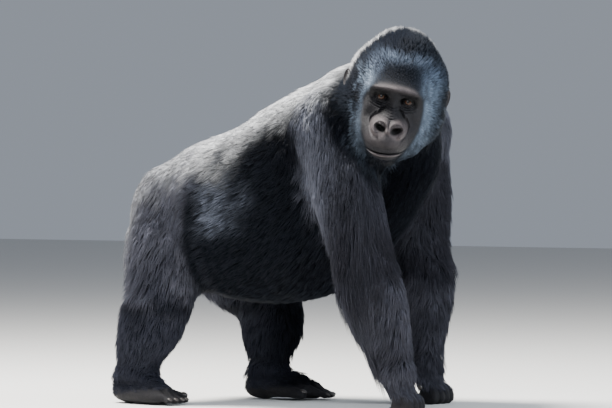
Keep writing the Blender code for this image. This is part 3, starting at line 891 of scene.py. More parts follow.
# On the head the hair is combed sideways and up from the face, then back and down behind the crown.
COMB_SIDEWAYS = 4.5
COMB_BACK = 0.6
COMB_UP = 6.0
COMB_DOWN = 18


def part_of(places):
    """The index in COAT of the solid nearest to each place."""
    tree, owner = surface_of(list(COAT))
    return np.array([owner[tree.find_nearest(place)[2]] for place in places.tolist()])


places = places_of(skin)
kinds = part_of(places)
values = np.array([row[:4] + (1.0,) for row in COAT.values()])[kinds]
lie = np.array([row[4] for row in COAT.values()], float)[kinds]
at_head = moved(places, TO_HEAD)
x, y, z = at_head.T
on_head = (kinds == PART["head"])[:, None]
back = np.clip(y - 0.03, 0, None)
comb = [x * COMB_SIDEWAYS, np.full_like(x, COMB_BACK), z * COMB_UP - back * COMB_DOWN]
comb = np.stack(comb, axis=1)
lie = np.where(on_head, comb @ FROM_HEAD[:3, :3].T / HEAD_SIZE, lie)

# long fringes stand off the back of the thigh and off the elbow
thigh_fringe = smooth_step(places[:, 1], 0.30, 0.42) * hill(places[:, 2] - THIGH_FRINGE_LEVEL, 0.11)
elbow_fringe = hill(np.linalg.norm(np.abs(places) - ELBOW, axis=1), 0.09)
fringe = np.maximum(thigh_fringe, 0.7 * elbow_fringe * (places[:, 1] < 0))
values[:, STAND] += FRINGE_STAND * fringe
values[:, LENGTH] *= 1 + FRINGE_LENGTH * fringe

# the outer side of each limb carries its hair outwards a little
on_limb = kinds >= PART["upper_arm"]
lie[:, 0] += np.where(on_limb, np.sign(places[:, 0]) * OUTWARDS, 0)
values = relaxed(skin, values, 14)
lie = relaxed(skin, lie / np.linalg.norm(lie, axis=1, keepdims=True), 22)
print("points of skin near each solid:", dict(zip(COAT, np.bincount(kinds).tolist())))


# %% [markdown]
# ## Bare skin, and where the hair is short
#
# The face, the palms, the knuckles and the soles are bare. The hair starts as a short nap at the edge of the
# face and lengthens away from it, and the chin has a longer beard. These shares serve twice: the coat reads
# them to know where it grows, and they make the skin lie deeper where the coat is thick. The skin also dips
# between the shoulders and the rump, and narrows at the wrists and the ankles.

# %% Bare and short-haired places
SHORTEST_NAP = 0.17
NAP_GROWS = (0.95, 2.05)
BEARD_STARTS = (0.166, 0.192)
# Each row: joints, how far from them skin is bare, its upper edge there, and the rise of that edge forwards.
BARE_LIMBS = ((WRISTS, 0.09, 0.052, 0.0), (ANKLES, 0.26, 0.040, 0.098))


def bare_share(places):
    """1 where the skin shows, for places in the world."""
    bare = face_share(moved(places, TO_HEAD))
    for side_name in SIDES:
        for joints, reach, level, rise in BARE_LIMBS:
            x, y, _ = joints[side_name]
            near = np.hypot(places[:, 0] - x, places[:, 1] - y) < reach
            edge = level + (y - places[:, 1]) * rise
            low = falling(places[:, 2], edge - 0.012, edge + 0.006)
            bare = np.maximum(bare, low * near)
    return bare


def nap_share(places):
    """1 far from the face, falling to a low value at the face's edge, where the hair is shortest."""
    at = moved(places, TO_HEAD)
    grown = SHORTEST_NAP + (1 - SHORTEST_NAP) * smooth_step(face_distance(at), *NAP_GROWS)
    beard = smooth_step(-at[:, 2], *BEARD_STARTS) * (at[:, 1] < 0)
    return np.maximum(grown, np.maximum(beard, smooth_step(at[:, 1], 0.0, 0.06)))


BACK_HEIGHT = 0.882
BACK_FALL = 0.48
DIP = 0.022
DIP_MIDDLE = 0.115
TAPER = 0.013
TAPER_LEVEL = 0.105
BEARD_GROWTH = 2.6
NAP_CROWDING = 0.9
print("the shortest hair is", SHORTEST_NAP, "of its full length")

# %% The skin under the coat
bare = bare_share(places)
nap = nap_share(places)
chin = smooth_step(-at_head[:, 2], 0.158, 0.182) * falling(at_head[:, 1], -0.06, 0.02)
chin *= falling(np.abs(at_head[:, 0]), 0.03, 0.07)
values[:, LENGTH] *= nap * (1 + BEARD_GROWTH * chin)
values[:, DEPTH] *= nap * (1 - relaxed(skin, bare[:, None], 6)[:, 0])
values[:, WIDTH] *= 0.50 + 0.50 * nap
values[:, COUNT] *= 1 + NAP_CROWDING - NAP_CROWDING * nap

# the dip of the back, then the depth of the coat, then the narrow wrists and ankles
below_back = BACK_HEIGHT - BACK_FALL * places[:, 1] - places[:, 2]
places[:, 2] -= DIP * hill(places[:, 1] - DIP_MIDDLE, 0.135) * falling(below_back, 0.04, 0.24)
set_places(skin, places)
skin_normals = normals_of(skin)
tapered = np.isin(kinds, [PART["forearm"], PART["shin"]])
taper = relaxed(skin, (tapered * hill(places[:, 2] - TAPER_LEVEL, 0.045))[:, None], 10) * TAPER
set_places(skin, places - skin_normals * (values[:, DEPTH : DEPTH + 1] + taper))
smoothed(skin, 2, (bare > 0.01).astype(float))
places = places_of(skin)
places[:, 2] = np.maximum(places[:, 2], 0)
set_places(skin, places)
print("coat depth from", values[:, DEPTH].min().round(4), "to", values[:, DEPTH].max().round(4), "m")

# %% [markdown]
# ## The coat's markings
#
# A grown male has a silver saddle from the nape over the back to the rump, which fades with a ragged edge
# into a black flank. The arms are brown-grey, the forehead and the cheeks blue-grey, the crown and the hair
# above the brow black. Some shares paint light and shade as well: the saddle is partly silver hair and partly
# painted sunlight, the silver nape is stronger on one side as painted rim light, the forehead band is paler
# on the side the lamps leave in shade as painted fill light, and black lines in the creases before the thigh,
# at the knee and at the elbow are painted shade. Each marking is a share between 0 and 1 worked out from the
# place on the body. The shares are mixed into one colour, which the skin and every tuft keep as an attribute,
# so both match. A tuft takes the colour at its root, so each marking shows a little further along the hair
# than its formula says.

# %% Colours of the coat, with painted light and shade
BLACK = (0.0030, 0.0038, 0.0070)
# the pale of the saddle and the nape: partly silver hair, partly painted sunlight and painted rim light
SILVER_AND_PAINTED_LIGHT = (0.600, 0.605, 0.620)
FLANK = (0.145, 0.162, 0.210)
ARM = (0.024, 0.0240, 0.0320)
FOREARM = (0.066, 0.067, 0.086)
ARM_EDGE = (0.165, 0.175, 0.222)
THIGH = (0.086, 0.088, 0.112)
SHIN = (0.030, 0.032, 0.046)
FOREHEAD = (0.150, 0.190, 0.262)
CHEEK = (0.165, 0.210, 0.275)
SADDLE_START = 0.070
FLANK_MIDDLE = (0.25, 0.10, 0.57)
FLANK_REACH = (0.17, 0.12, 0.12)
# where the painted shade of the creases lies: before the thigh, at the knee and at the elbow
GROIN = 0.198
KNEE_LEVEL = 0.292
ELBOW_LEVEL = 0.372
FOREHEAD_LEVEL = 0.104
TEMPLE_OUT = 0.078
TEMPLE_LEVEL = 0.076


print("hair from", BLACK, "to", SILVER_AND_PAINTED_LIGHT)


# %% Fields that markings are made of
def patchy(places, size):
    """Soft patches of about a size, from -1 to 1, the same in each run."""
    return np.array([noise.noise(Vector(place) / size) for place in places.tolist()])


def near_place(places, centre, radii):
    """1 at a centre, falling to 0 at about twice the radii."""
    return np.exp(-(((places - np.array(centre)) / radii) ** 2).sum(axis=1))


def from_head(at_head, long, high):
    """How far places lie from the middle of the head, which is longer and higher than it is wide."""
    x, y, z = at_head.T
    return np.sqrt(x**2 + (y / long) ** 2 + (z / high) ** 2)


HEAD_HAIR = (0.150, 0.205)


def around_head(at_head):
    """1 on the head, 0 on the neck and the shoulders."""
    return falling(from_head(at_head, 1.1, 1.15), *HEAD_HAIR)


print("the head's hair ends", HEAD_HAIR, "m from its middle")


# %% Markings of trunk and limbs
def body_layers(places, at_head, broad, fine):
    """The markings of trunk and limbs, with painted sunlight on the saddle and painted shade in the creases,
    each a colour and its share at every place, the lowest first.
    """
    x, y, z = places.T
    out = np.abs(x)
    # the saddle, ragged at its lower edge, and a paler band down the back of the thighs; their paleness is
    # partly silver hair and partly painted sunlight on the top of the back and the back of the thighs
    below_back = BACK_HEIGHT - BACK_FALL * y - z + 0.060 * broad + 0.035 * fine
    below_back += 0.25 * np.clip(out - 0.16, 0, None)
    below_back += 0.26 * np.clip(y - 0.06, 0, 0.24)
    fade = 0.195 + 0.075 * smooth_step(y, -0.06, 0.06) - SADDLE_START
    saddle_and_painted_sunlight = falling((below_back - SADDLE_START) / fade, 0, 1) ** 1.4
    saddle_and_painted_sunlight *= smooth_step(y, -0.33, -0.24)
    saddle_and_painted_sunlight *= 1 - 0.45 * smooth_step(y + 0.10 * broad, 0.16, 0.32)
    band = smooth_step(y + 0.02 * fine, 0.370, 0.455) * smooth_step(z, 0.30, 0.58) * 0.50
    saddle_and_painted_sunlight = np.maximum(saddle_and_painted_sunlight, band) * (1 - around_head(at_head))
    # the arms, browner below the elbow and paler along their back edge
    arm_back = -0.165 - 0.33 * np.clip(0.65 - z, 0, 0.2) + 0.02 * fine
    arm = falling(y - arm_back, -0.040, 0.040) * smooth_step(out + 0.03 * fine, 0.10, 0.17)
    arm *= smooth_step(from_head(at_head, 1.3, 1.15), 0.185, 0.225)
    forearm = arm * falling(z + 0.03 * broad, 0.36, 0.42) * np.clip(0.80 + 0.9 * broad, 0, 1)
    arm_edge = arm * smooth_step(y, -0.34, -0.16) * smooth_step(z, 0.40, 0.60)
    shoulder = arm * smooth_step(z + 0.09 * broad + 0.03 * fine, 0.60, 0.86) * 0.62
    # the legs, darker below the knee
    leg = smooth_step(y, 0.14, 0.24) * (out > 0.04)
    thigh = leg * smooth_step(z + 0.04 * fine + 0.05 * broad, 0.255, 0.365)
    thigh *= np.clip(0.85 + 0.9 * broad + 0.5 * fine, 0, 1)
    # the grey patch of the flank
    flank = near_place(np.stack([out, y, z], axis=1), FLANK_MIDDLE, FLANK_REACH)
    flank = smooth_step(flank + 0.30 * broad, 0.26, 1.15) * np.clip(0.70 + 0.9 * fine, 0, 1)
    # painted shade: black lines in the creases before the thigh, at the knee and at the elbow
    fold_shade = hill(y - GROIN + 0.10 * (z - 0.45), 0.034) * smooth_step(z, 0.27, 0.34)
    fold_shade *= falling(z, 0.56, 0.64) * (out > 0.10)
    knee_shade = leg * hill(z - KNEE_LEVEL, 0.013)
    elbow_shade = arm * hill(z - ELBOW_LEVEL - 0.25 * (y + 0.35), 0.012) * (y > -0.40)
    return [
        (FLANK, flank * (1 - arm)),
        (SHIN, leg),
        (THIGH, thigh),
        (ARM, arm),
        (FOREARM, forearm),
        (ARM_EDGE, np.maximum(arm_edge, shoulder) * 0.8),
        # painted shade in the creases
        (BLACK, fold_shade + 0.8 * knee_shade + 0.7 * elbow_shade),
        (SILVER_AND_PAINTED_LIGHT, saddle_and_painted_sunlight),
    ]


# %% Markings of the head
def head_layers(at_head, broad, fine):
    """The markings of the head, with painted rim light on one side of the nape and painted fill light on one
    side of the forehead, each a colour and its share at every place, the lowest first.
    """
    x, y, z = at_head.T
    half = np.abs(x)
    outer = half - 0.12 * x
    around = around_head(at_head)
    front = around * falling(y, -0.030, 0.030)
    # the silver nape, partly silver hair and partly painted rim light: stronger, and reaching further
    # forward, on the side of negative x, the lit side
    behind_crest = y + 0.01 * fine + 0.30 * np.clip(-x - 0.02, 0, 0.1)
    nape_and_rim_light = around * smooth_step(behind_crest, 0.004, 0.026) * smooth_step(z + 0.02 * broad, 0.00, 0.07)
    nape_and_rim_light *= 1 - 0.65 * smooth_step(behind_crest + 0.03 * broad, 0.035, 0.075)
    nape_and_rim_light *= np.clip(0.60 - 4.0 * x, 0.25, 1)
    # a band over the brow and the temples, with the black hair of the brow and the crest cut out of it
    forehead = hill(z - FOREHEAD_LEVEL + 0.010 * broad, 0.017) * falling(half, 0.06, 0.10) * 0.60
    forehead = np.maximum(forehead, hill(np.hypot(outer - TEMPLE_OUT, z - TEMPLE_LEVEL), 0.026))
    forehead *= 1 - 0.95 * hill(np.hypot(half / 0.058, (z - 0.056) / 0.030), 1.0)
    forehead *= falling(z - 0.25 * half, 0.104, 0.124)
    # painted fill light: the band is paler on the side of positive x, which the lamps leave in shade
    forehead *= front * np.clip(0.85 + 0.8 * fine, 0, 1) * np.clip(0.62 + 2.8 * x, 0.3, 1)
    # the cheeks beside the bare face, down to the chin
    cheek = smooth_step(face_distance(at_head), 0.92, 1.05) * falling(outer + 0.02 * fine, 0.094, 0.116)
    cheek = np.maximum(cheek, 0.35 * (outer > 0.08) * falling(outer, 0.125, 0.140) * (fine > 0.05))
    cheek *= falling(z, 0.045, 0.085) * front * np.clip(0.80 + 1.0 * fine, 0, 1)
    cheek *= 1 - smooth_step(z, 0.015, 0.040) * falling(half, 0.060, 0.088)
    cheek *= 1 - 0.60 * smooth_step(-z, 0.135, 0.165) * falling(half, 0.015, 0.045)
    return [
        (SILVER_AND_PAINTED_LIGHT, nape_and_rim_light * np.clip(0.55 + 0.8 * fine + 0.4 * broad, 0, 1)),
        (FOREHEAD, forehead),
        (CHEEK, cheek),
    ]


# %% One colour from all the markings, painted light and shade among them
BROAD_PATCHES = 0.070
FINE_PATCHES = 0.016


def coat_colour_and_painted_light(places):
    """The coat's colour at places in the world, painted light and shade included, as rows of linear red,
    green and blue.
    """
    at_head = moved(places, TO_HEAD)
    broad = patchy(places, BROAD_PATCHES)
    fine = patchy(places * (1, 1, 0.5), FINE_PATCHES)
    dye_and_painted_light = np.tile(np.array(BLACK), (len(places), 1))
    for colour, share in body_layers(places, at_head, broad, fine) + head_layers(at_head, broad, fine):
        dye_and_painted_light += (np.array(colour) - dye_and_painted_light) * np.clip(share, 0, 1)[:, None]
    return dye_and_painted_light


def give(thing, name, kind, rows):
    """Writes one attribute on the points of a mesh."""
    attribute = thing.data.attributes.new(name, kind, "POINT")
    field = "vector" if kind == "FLOAT_VECTOR" else "value"
    attribute.data.foreach_set(field, np.ascontiguousarray(rows, dtype=np.float32).ravel())


# %% What the skin keeps of them
NOSE_WORN = (0.030, -0.190, NOSE_LEVEL)
NOSE_WORN_REACH = (0.021, 0.08, 0.023)
MUZZLE_WORN = (0.022, -0.190, -0.118)
MUZZLE_WORN_REACH = (0.038, 0.08, 0.018)
# round the eye sockets the skin is darkened as painted shade
SOCKET_SHADE = (EYE_APART + 0.005, EYE_DEPTH, 0.008)
SOCKET_SHADE_REACH = (0.044, 0.08, 0.0160)


def half_face(places):
    """Places in the head's frame, both halves laid on one, and how far they lie above the mouth's line."""
    at = moved(places, TO_HEAD)
    above_mouth = at[:, 2] - mouth_level(at[:, 0])
    at[:, 0] = np.abs(at[:, 0])
    return at, above_mouth


def warm_share(places):
    """1 where the bare face is paler: worn skin on the nose and the muzzle, and painted highlights on the
    brow ridge, the lower lip and the rims of the nose's wings.
    """
    at, above_mouth = half_face(places)
    out, front, up = at.T
    brow = hill(up - BROW_LEVEL - 0.002 + BROW_FALL * out**2, 0.0080) * falling(out, 0.075, 0.092)
    nose = near_place(at, NOSE_WORN, NOSE_WORN_REACH)
    muzzle = near_place(at, MUZZLE_WORN, MUZZLE_WORN_REACH)
    lip = hill(above_mouth + 0.0060, 0.0030) * (out < 0.052)
    wing = hill(np.hypot((out - WING_MIDDLE) / WING_WIDE, (up - WING_LEVEL) / WING_HIGH) - 1, 0.28)
    # brow, lip and wing are painted highlights; nose and muzzle are worn, paler skin
    worn_and_highlight = 0.85 * brow + 0.75 * nose + 0.34 * muzzle + 1.3 * lip + 0.8 * wing
    return np.clip(worn_and_highlight, 0, 1) * (front < FRONT)


def hollow_share(places):
    """1 in the nostrils, along the mouth, round the eyes, in the folds beside the nose and between the
    digits, where the skin is darkened as painted shade.
    """
    at, above_mouth = half_face(places)
    out, front, up = at.T
    slant = up - NOSE_LEVEL - 0.38 * (out - 0.0235)
    nostril = falling(np.hypot((out - 0.0240) / 0.0182, slant / 0.0108), 0.72, 1.12)
    socket = near_place(at, SOCKET_SHADE, SOCKET_SHADE_REACH)
    line = hill(above_mouth, 0.0016) * (out < 0.058) * (front < -0.12)
    from_fold = np.clip(np.abs(out - 0.026 + 0.60 * (up + 0.036)) / 0.016, 0, 1)
    fold_shade = (1 - from_fold) * hill(up + 0.036, 0.020)
    hollow = np.clip(nostril + line + 0.95 * socket + 0.45 * fold_shade, 0, 1) * (front < FRONT)
    return np.maximum(hollow, 0.8 * between_digits(places))


skin_places = places_of(skin)
give(skin, "hollow", "FLOAT", hollow_share(skin_places))
give(skin, "dye_and_painted_light", "FLOAT_VECTOR", coat_colour_and_painted_light(skin_places))
give(skin, "bare", "FLOAT", bare)
give(skin, "warm", "FLOAT", warm_share(skin_places))
print("markings on", len(skin_places), "points of the skin")

# %% [markdown]
# ## The coat
#
# Hair on the real animal is far too fine to model one by one, so the coat is made of tufts: each is a thin
# closed blade with a three-sided root, a three-sided middle and a point, ten triangles in all. On the head
# the hair is short, so a tuft there has no middle and only four. A tuft starts in the skin, runs along the
# lie of the hair, is laid back on the skin at its middle and its tip, and ends a little above it. Neighbours
# lean towards a common point, which gathers them into locks. Tufts are scattered evenly with a fixed seed,
# and every tuft keeps the place of its root on an unwrap of the skin.

# %% How one region's skin is read
skin_points = places_of(skin)
skin_normals = normals_of(skin)
skin.data.calc_loop_triangles()
triangles = read(skin.data.loop_triangles, "vertices", 3, int)
skin_tree = BVHTree.FromPolygons(skin_points.tolist(), triangles.tolist())
hairiness = 1 - bare


def unwrapped(chosen):
    """The places on an unwrap of the chosen triangles, as three corners for each triangle."""
    data = bpy.data.meshes.new("patch")
    used, index = np.unique(triangles[chosen], return_inverse=True)
    data.from_pydata(skin_points[used].tolist(), [], index.reshape(-1, 3).tolist())
    patch = put_in_scene("patch", data)
    only(patch)
    bpy.ops.object.mode_set(mode="EDIT")
    bpy.ops.mesh.select_all(action="SELECT")
    bpy.ops.uv.smart_project(angle_limit=math.radians(66), island_margin=0.004)
    bpy.ops.object.mode_set(mode="OBJECT")
    spots = read(data.uv_layers.active.data, "uv", 2)
    bpy.data.objects.remove(patch)
    return spots.reshape(-1, 3, 2)


def scattered(chosen, most):
    """Roots spread over the chosen triangles: which triangle, and the share of each of its corners."""
    corners = skin_points[triangles[chosen]]
    crossed = np.cross(corners[:, 1] - corners[:, 0], corners[:, 2] - corners[:, 0])
    area = np.linalg.norm(crossed, axis=1) / 2
    wanted = area * values[triangles[chosen], COUNT].mean(axis=1) * 1e4
    wanted *= hairiness[triangles[chosen]].mean(axis=1) ** 0.7
    total = min(int(wanted.sum()), most)
    steps = (np.arange(total) + chance.random(total)) / total * wanted.sum()
    picked = np.minimum(np.searchsorted(np.cumsum(wanted), steps), len(chosen) - 1)
    first, second = chance.random((2, total))
    over = first + second > 1
    first[over], second[over] = 1 - first[over], 1 - second[over]
    return picked, np.stack([1 - first - second, first, second], axis=1), wanted.sum()


def at_roots(rows, chosen, picked, shares):
    """Values at the roots, blended from the corners of their triangles."""
    return (rows[triangles[chosen][picked]] * shares[:, :, None]).sum(axis=1)


def unit(rows):
    return rows / np.maximum(np.linalg.norm(rows, axis=1, keepdims=True), 1e-9)


def on_skin(targets):
    """The nearest points of the skin and its slopes there."""
    spots = np.empty_like(targets)
    slopes = np.empty_like(targets)
    for i, target in enumerate(targets.tolist()):
        spots[i], slopes[i], _, _ = skin_tree.find_nearest(target)
    return spots, slopes


print("coat grows from", len(triangles), "triangles of skin")

# %% How a region's tufts are made
MOST_TRIANGLES = 195000
LOCK_SIZE = 0.016
LOCK_PULL = 0.62
LENGTHS = (0.65, 1.2)
STANDS = (0.70, 1.15)
WIDTHS = (0.8, 1.25)
WAYWARD = 0.16
STRAY_ABOVE = 0.94
STRAY_MORE = 0.25
MIDDLE_STAND = 0.72
MIDDLE_WIDTH = 0.82
FLATNESS = 0.7
DROOP = 0.03
IN_A_LOCK = 14
ROOT_SUNK = 0.0012
LEAST_HEIGHT = 0.0012
# Where the points of a tuft lie along it, and on its patch of the unwrap: root, middle and tip.
REACH = np.array([0, 0, 0, 0.5, 0.5, 0.5, 1.0])
PATCH = 0.003 * np.array([(0, 0), (-0.5, 0), (0.5, 0), (0, 0.5), (-0.4, 0.5), (0.4, 0.5), (0, 1)])
BENT = [0, 1, 2, 3, 4, 5, 6]
STRAIGHT = [0, 1, 2, 6]


def tuft_faces(form):
    """The triangles of one tuft that has these points: its root, its sides and its tip."""
    last = len(form) - 1
    faces = [(2, 1, 0)]
    for k in range(3):
        n = (k + 1) % 3
        if form is BENT:
            faces += [(k, n, n + 3), (k, n + 3, k + 3)]
        faces.append((last - 3 + k, last - 3 + n, last))
    return np.array(faces)


def coat_piece(name, chosen, form):
    """One piece of the coat over the chosen triangles of the skin, in straight or bent tufts."""
    pattern = tuft_faces(form)
    picked, shares, wanted = scattered(chosen, MOST_TRIANGLES // len(pattern))
    count = len(picked)
    root = at_roots(skin_points, chosen, picked, shares)
    slope = unit(at_roots(skin_normals, chosen, picked, shares))
    length, depth, width, _, upright = at_roots(values, chosen, picked, shares).T
    way = at_roots(lie, chosen, picked, shares)
    way += chance.normal(0, WAYWARD, (count, 3))
    way = unit(way - slope * (way * slope).sum(axis=1, keepdims=True))
    length = length * chance.uniform(*LENGTHS, count)
    tip_flat = root + way * length[:, None]
    middle_flat = root + way * length[:, None] * 0.5

    # locks: the tufts of one neighbourhood lean towards the tip of the tuft in its middle
    leaders = chance.choice(count, max(count // IN_A_LOCK, 1), replace=False)
    tree = KDTree(len(leaders))
    for i, leader in enumerate(leaders):
        tree.insert(root[leader], i)
    tree.balance()
    mine = np.array([leaders[tree.find(spot)[1]] for spot in root.tolist()])
    apart = np.linalg.norm(root[mine] - root, axis=1)
    pull = LOCK_PULL * np.clip(1 - apart / LOCK_SIZE / 2, 0, 1)[:, None]
    tip_flat += (tip_flat[mine] - tip_flat) * pull
    middle_flat += (middle_flat[mine] - middle_flat) * pull * 0.4

    middle, middle_slope = on_skin(middle_flat)
    tip, tip_slope = on_skin(tip_flat)
    stand = depth * upright * chance.uniform(*STANDS, count)
    stand *= 1 + STRAY_MORE * (chance.random(count) > STRAY_ABOVE)
    lock_stand = 0.6 * stand[mine] + 0.4 * stand
    middle += middle_slope * (lock_stand * MIDDLE_STAND)[:, None]
    tip += tip_slope * lock_stand[:, None]
    tip[:, 2] -= DROOP * length
    root = root - slope * ROOT_SUNK

    along = unit(tip - root)
    side = unit(np.cross(along, slope))
    lift = np.cross(side, along)
    half = (width * chance.uniform(*WIDTHS, count) / 2)[:, None]
    rows = []
    for centre, share in ((root, 1.0), (middle, MIDDLE_WIDTH)):
        for angle in (90, 210, 330):
            across = math.cos(math.radians(angle)) * half * share
            up = math.sin(math.radians(angle)) * half * share * FLATNESS
            rows.append(centre + side * across + lift * up)
    rows.append(tip)
    points = np.stack(rows, axis=1)[:, form]
    points[:, :, 2] = np.maximum(points[:, :, 2], LEAST_HEIGHT)

    each = len(form)
    faces = (pattern[None] + each * np.arange(count)[:, None, None]).reshape(-1, 3)
    spots = (unwrapped(chosen)[picked] * shares[:, :, None]).sum(axis=1)
    spots = (spots[:, None] + PATCH[form]).reshape(-1, 2)

    data = bpy.data.meshes.new(name)
    data.vertices.add(count * each)
    data.vertices.foreach_set("co", points.ravel())
    data.loops.add(len(faces) * 3)
    data.loops.foreach_set("vertex_index", faces.ravel())
    data.polygons.add(len(faces))
    data.polygons.foreach_set("loop_start", np.arange(len(faces)) * 3)
    data.update(calc_edges=True)
    data.uv_layers.new(name="OFBake").data.foreach_set("uv", spots[faces.ravel()].ravel())
    data.validate()
    piece = put_in_scene(name, data)
    tone = 0.5 * chance.random(count) + 0.5 * chance.random(count)[mine]
    give(piece, "tone", "FLOAT", np.repeat(tone, each))
    give(piece, "reach", "FLOAT", np.tile(REACH[form], count))
    give(piece, "dye_and_painted_light", "FLOAT_VECTOR", np.repeat(coat_colour_and_painted_light(root), each, axis=0))
    only(piece)
    bpy.ops.object.shade_smooth()
    print(f"{name}: {count} tufts of {int(wanted)} wanted, {len(faces)} triangles")
    return piece


# %% The coat, region by region
part = kinds[triangles[:, 0]]
centre = skin_points[triangles].mean(axis=1)
haired = hairiness[triangles].max(axis=1) > 0.02
trunk = np.isin(part, [PART[name] for name in ("chest", "belly", "rump")])
arms = np.isin(part, [PART[name] for name in ("upper_arm", "forearm", "hand")])
legs = np.isin(part, [PART[name] for name in ("thigh", "shin", "foot")])
FACE_COAT = -0.055
forward = moved(centre, TO_HEAD)[:, 1]
regions = {
    "coat_face": (part == PART["head"]) & (forward < FACE_COAT),
    "coat_crown": (part == PART["head"]) & (forward >= FACE_COAT),
    "coat_neck_and_breast": (part == PART["neck"]) | (trunk & (centre[:, 1] < -0.10)),
    "coat_ribs": trunk & (centre[:, 1] >= -0.10) & (centre[:, 1] < 0.10),
    "coat_loins_and_rump": trunk & (centre[:, 1] >= 0.10),
    "coat_arm_right": arms & (centre[:, 0] < 0),
    "coat_arm_left": arms & (centre[:, 0] > 0),
    "coat_leg_right": legs & (centre[:, 0] < 0),
    "coat_leg_left": legs & (centre[:, 0] > 0),
}
coats = []
for name, chosen in regions.items():
    form = STRAIGHT if name in ("coat_face", "coat_crown") else BENT
    coats.append(coat_piece(name, np.flatnonzero(chosen & haired), form))
print("coat of", sum(len(coat.data.polygons) for coat in coats), "triangles")


# %% [markdown]
# ## Materials
#
# A material is a small program. Wire wraps one output of a node, and Python's operators on it add the Math
# nodes, so that a formula reads as it is meant. Paint makes the nodes and ends in one Principled surface.


# %% Wire and Paint
class Wire:
    """One output of a node, which can be added, taken away and multiplied as a number."""

    def __init__(self, paint, socket):
        self.paint = paint
        self.socket = socket

    def __add__(self, other):
        return self.paint.maths("ADD", self, other)

    def __radd__(self, other):
        return self.paint.maths("ADD", other, self)

    def __sub__(self, other):
        return self.paint.maths("SUBTRACT", self, other)

    def __rsub__(self, other):
        return self.paint.maths("SUBTRACT", other, self)

    def __mul__(self, other):
        return self.paint.maths("MULTIPLY", self, other)

    def __rmul__(self, other):
        return self.paint.maths("MULTIPLY", other, self)


class Paint:
    """A material while it is made."""

    def __init__(self, name):
        self.material = bpy.data.materials.new(name)
        self.material.use_nodes = True
        self.tree = self.material.node_tree
        self.surface = self.tree.nodes["Principled BSDF"]

    def feed(self, socket, value):
        """Links a wire to a socket, or sets the socket's own value."""
        if isinstance(value, Wire):
            self.tree.links.new(value.socket, socket)
        elif socket.type == "RGBA":
            socket.default_value = (*value, 1)
        else:
            socket.default_value = value

    def node(self, kind, settings, sockets, out=0):
        """Adds a node, with its settings first and then its sockets, and gives one of its outputs."""
        made = self.tree.nodes.new(kind)
        for name, value in settings.items():
            setattr(made, name, value)
        for name, value in sockets.items():
            self.feed(made.inputs[name], value)
        return Wire(self, made.outputs[out])

    def maths(self, operation, first, second):
        return self.node("ShaderNodeMath", {"operation": operation}, {0: first, 1: second})

    def places(self):
        return self.node("ShaderNodeTexCoord", {}, {}, "Object")

    def kept(self, name, out="Fac"):
        """An attribute that the mesh keeps on its points."""
        return self.node("ShaderNodeAttribute", {"attribute_name": name}, {}, out)

    def step(self, value, low, high):
        """0 below low, 1 above high, with an even slope between."""
        settings = {"interpolation_type": "SMOOTHSTEP"}
        sockets = {"Value": value, "From Min": low, "From Max": high}
        return self.node("ShaderNodeMapRange", settings, sockets)

    def mixed(self, share, first, second):
        """The first colour where share is 0, the second where it is 1."""
        return self.node("ShaderNodeMix", {"data_type": "RGBA"}, {0: share, 6: first, 7: second}, 2)

    def vector(self, operation, sockets, out=0):
        """Maths on whole vectors or colours."""
        return self.node("ShaderNodeVectorMath", {"operation": operation}, sockets, out)

    def dimmed(self, colour, factor):
        """A colour made darker or lighter by a factor."""
        return self.vector("SCALE", {0: colour, "Scale": factor})

    def grain(self, size, detail=3.0, stretch=(1, 1, 1)):
        """Noise of a size in metres, from 0 to 1."""
        scaled = self.node("ShaderNodeMapping", {}, {"Vector": self.places(), "Scale": stretch})
        sockets = {"Vector": scaled, "Scale": 1 / size, "Detail": detail}
        return self.node("ShaderNodeTexNoise", {}, sockets, "Fac")

    def cells(self, size):
        """The distance from the edges of a crackle of a size in metres."""
        sockets = {"Vector": self.places(), "Scale": 1 / size}
        return self.node("ShaderNodeTexVoronoi", {"feature": "DISTANCE_TO_EDGE"}, sockets, "Distance")

    def bumped(self, height, distance):
        sockets = {"Height": height, "Distance": distance, "Strength": 1.0}
        return self.node("ShaderNodeBump", {}, sockets)

    def finish(self, **sockets):
        """Feeds the surface by socket names, with their blanks written as underscores."""
        for name, value in sockets.items():
            self.feed(self.surface.inputs[name.replace("_", " ")], value)
        return self.material


# %% [markdown]
# ## The hide
#
# Under the hair the skin takes the colour of the coat above it, its painted light and shade included, but
# darker, with a fine streaked bump where the hair lies flat. Bare skin is black leather: a net of fine
# creases, pores, worn, paler places on the nose and the muzzle, painted highlights on the brow ridge, the
# lower lip and the rims of the nose's wings, and painted shade in the nostrils, along the mouth, round the
# eyes, in the folds beside the nose and between the digits. One material serves the skin, and one without
# hair serves the ears.

# %% Hide
BARE_DARK = (0.0050, 0.0048, 0.0066)
# the pale of worn bare skin, which also serves for its painted highlights
BARE_WORN_AND_HIGHLIGHT = (0.0700, 0.0570, 0.0580)
UNDER_HAIR = 0.55


def bare_relief(paint):
    """Height of bare skin: creases, softened by larger ups and downs, and pores."""
    creases = paint.step(paint.cells(0.0034), 0.0, 0.16)
    small = paint.step(paint.cells(0.0015), 0.0, 0.22)
    return creases * 0.28 + small * 0.20 + paint.grain(0.0060) * 0.9


def bare_colour(paint, worn_and_highlight):
    mottled = paint.step(paint.grain(0.010), 0.30, 0.70)
    dark = paint.mixed(mottled * 0.06, BARE_DARK, BARE_WORN_AND_HIGHLIGHT)
    return paint.mixed(worn_and_highlight * (0.60 + 0.40 * mottled), dark, BARE_WORN_AND_HIGHLIGHT)


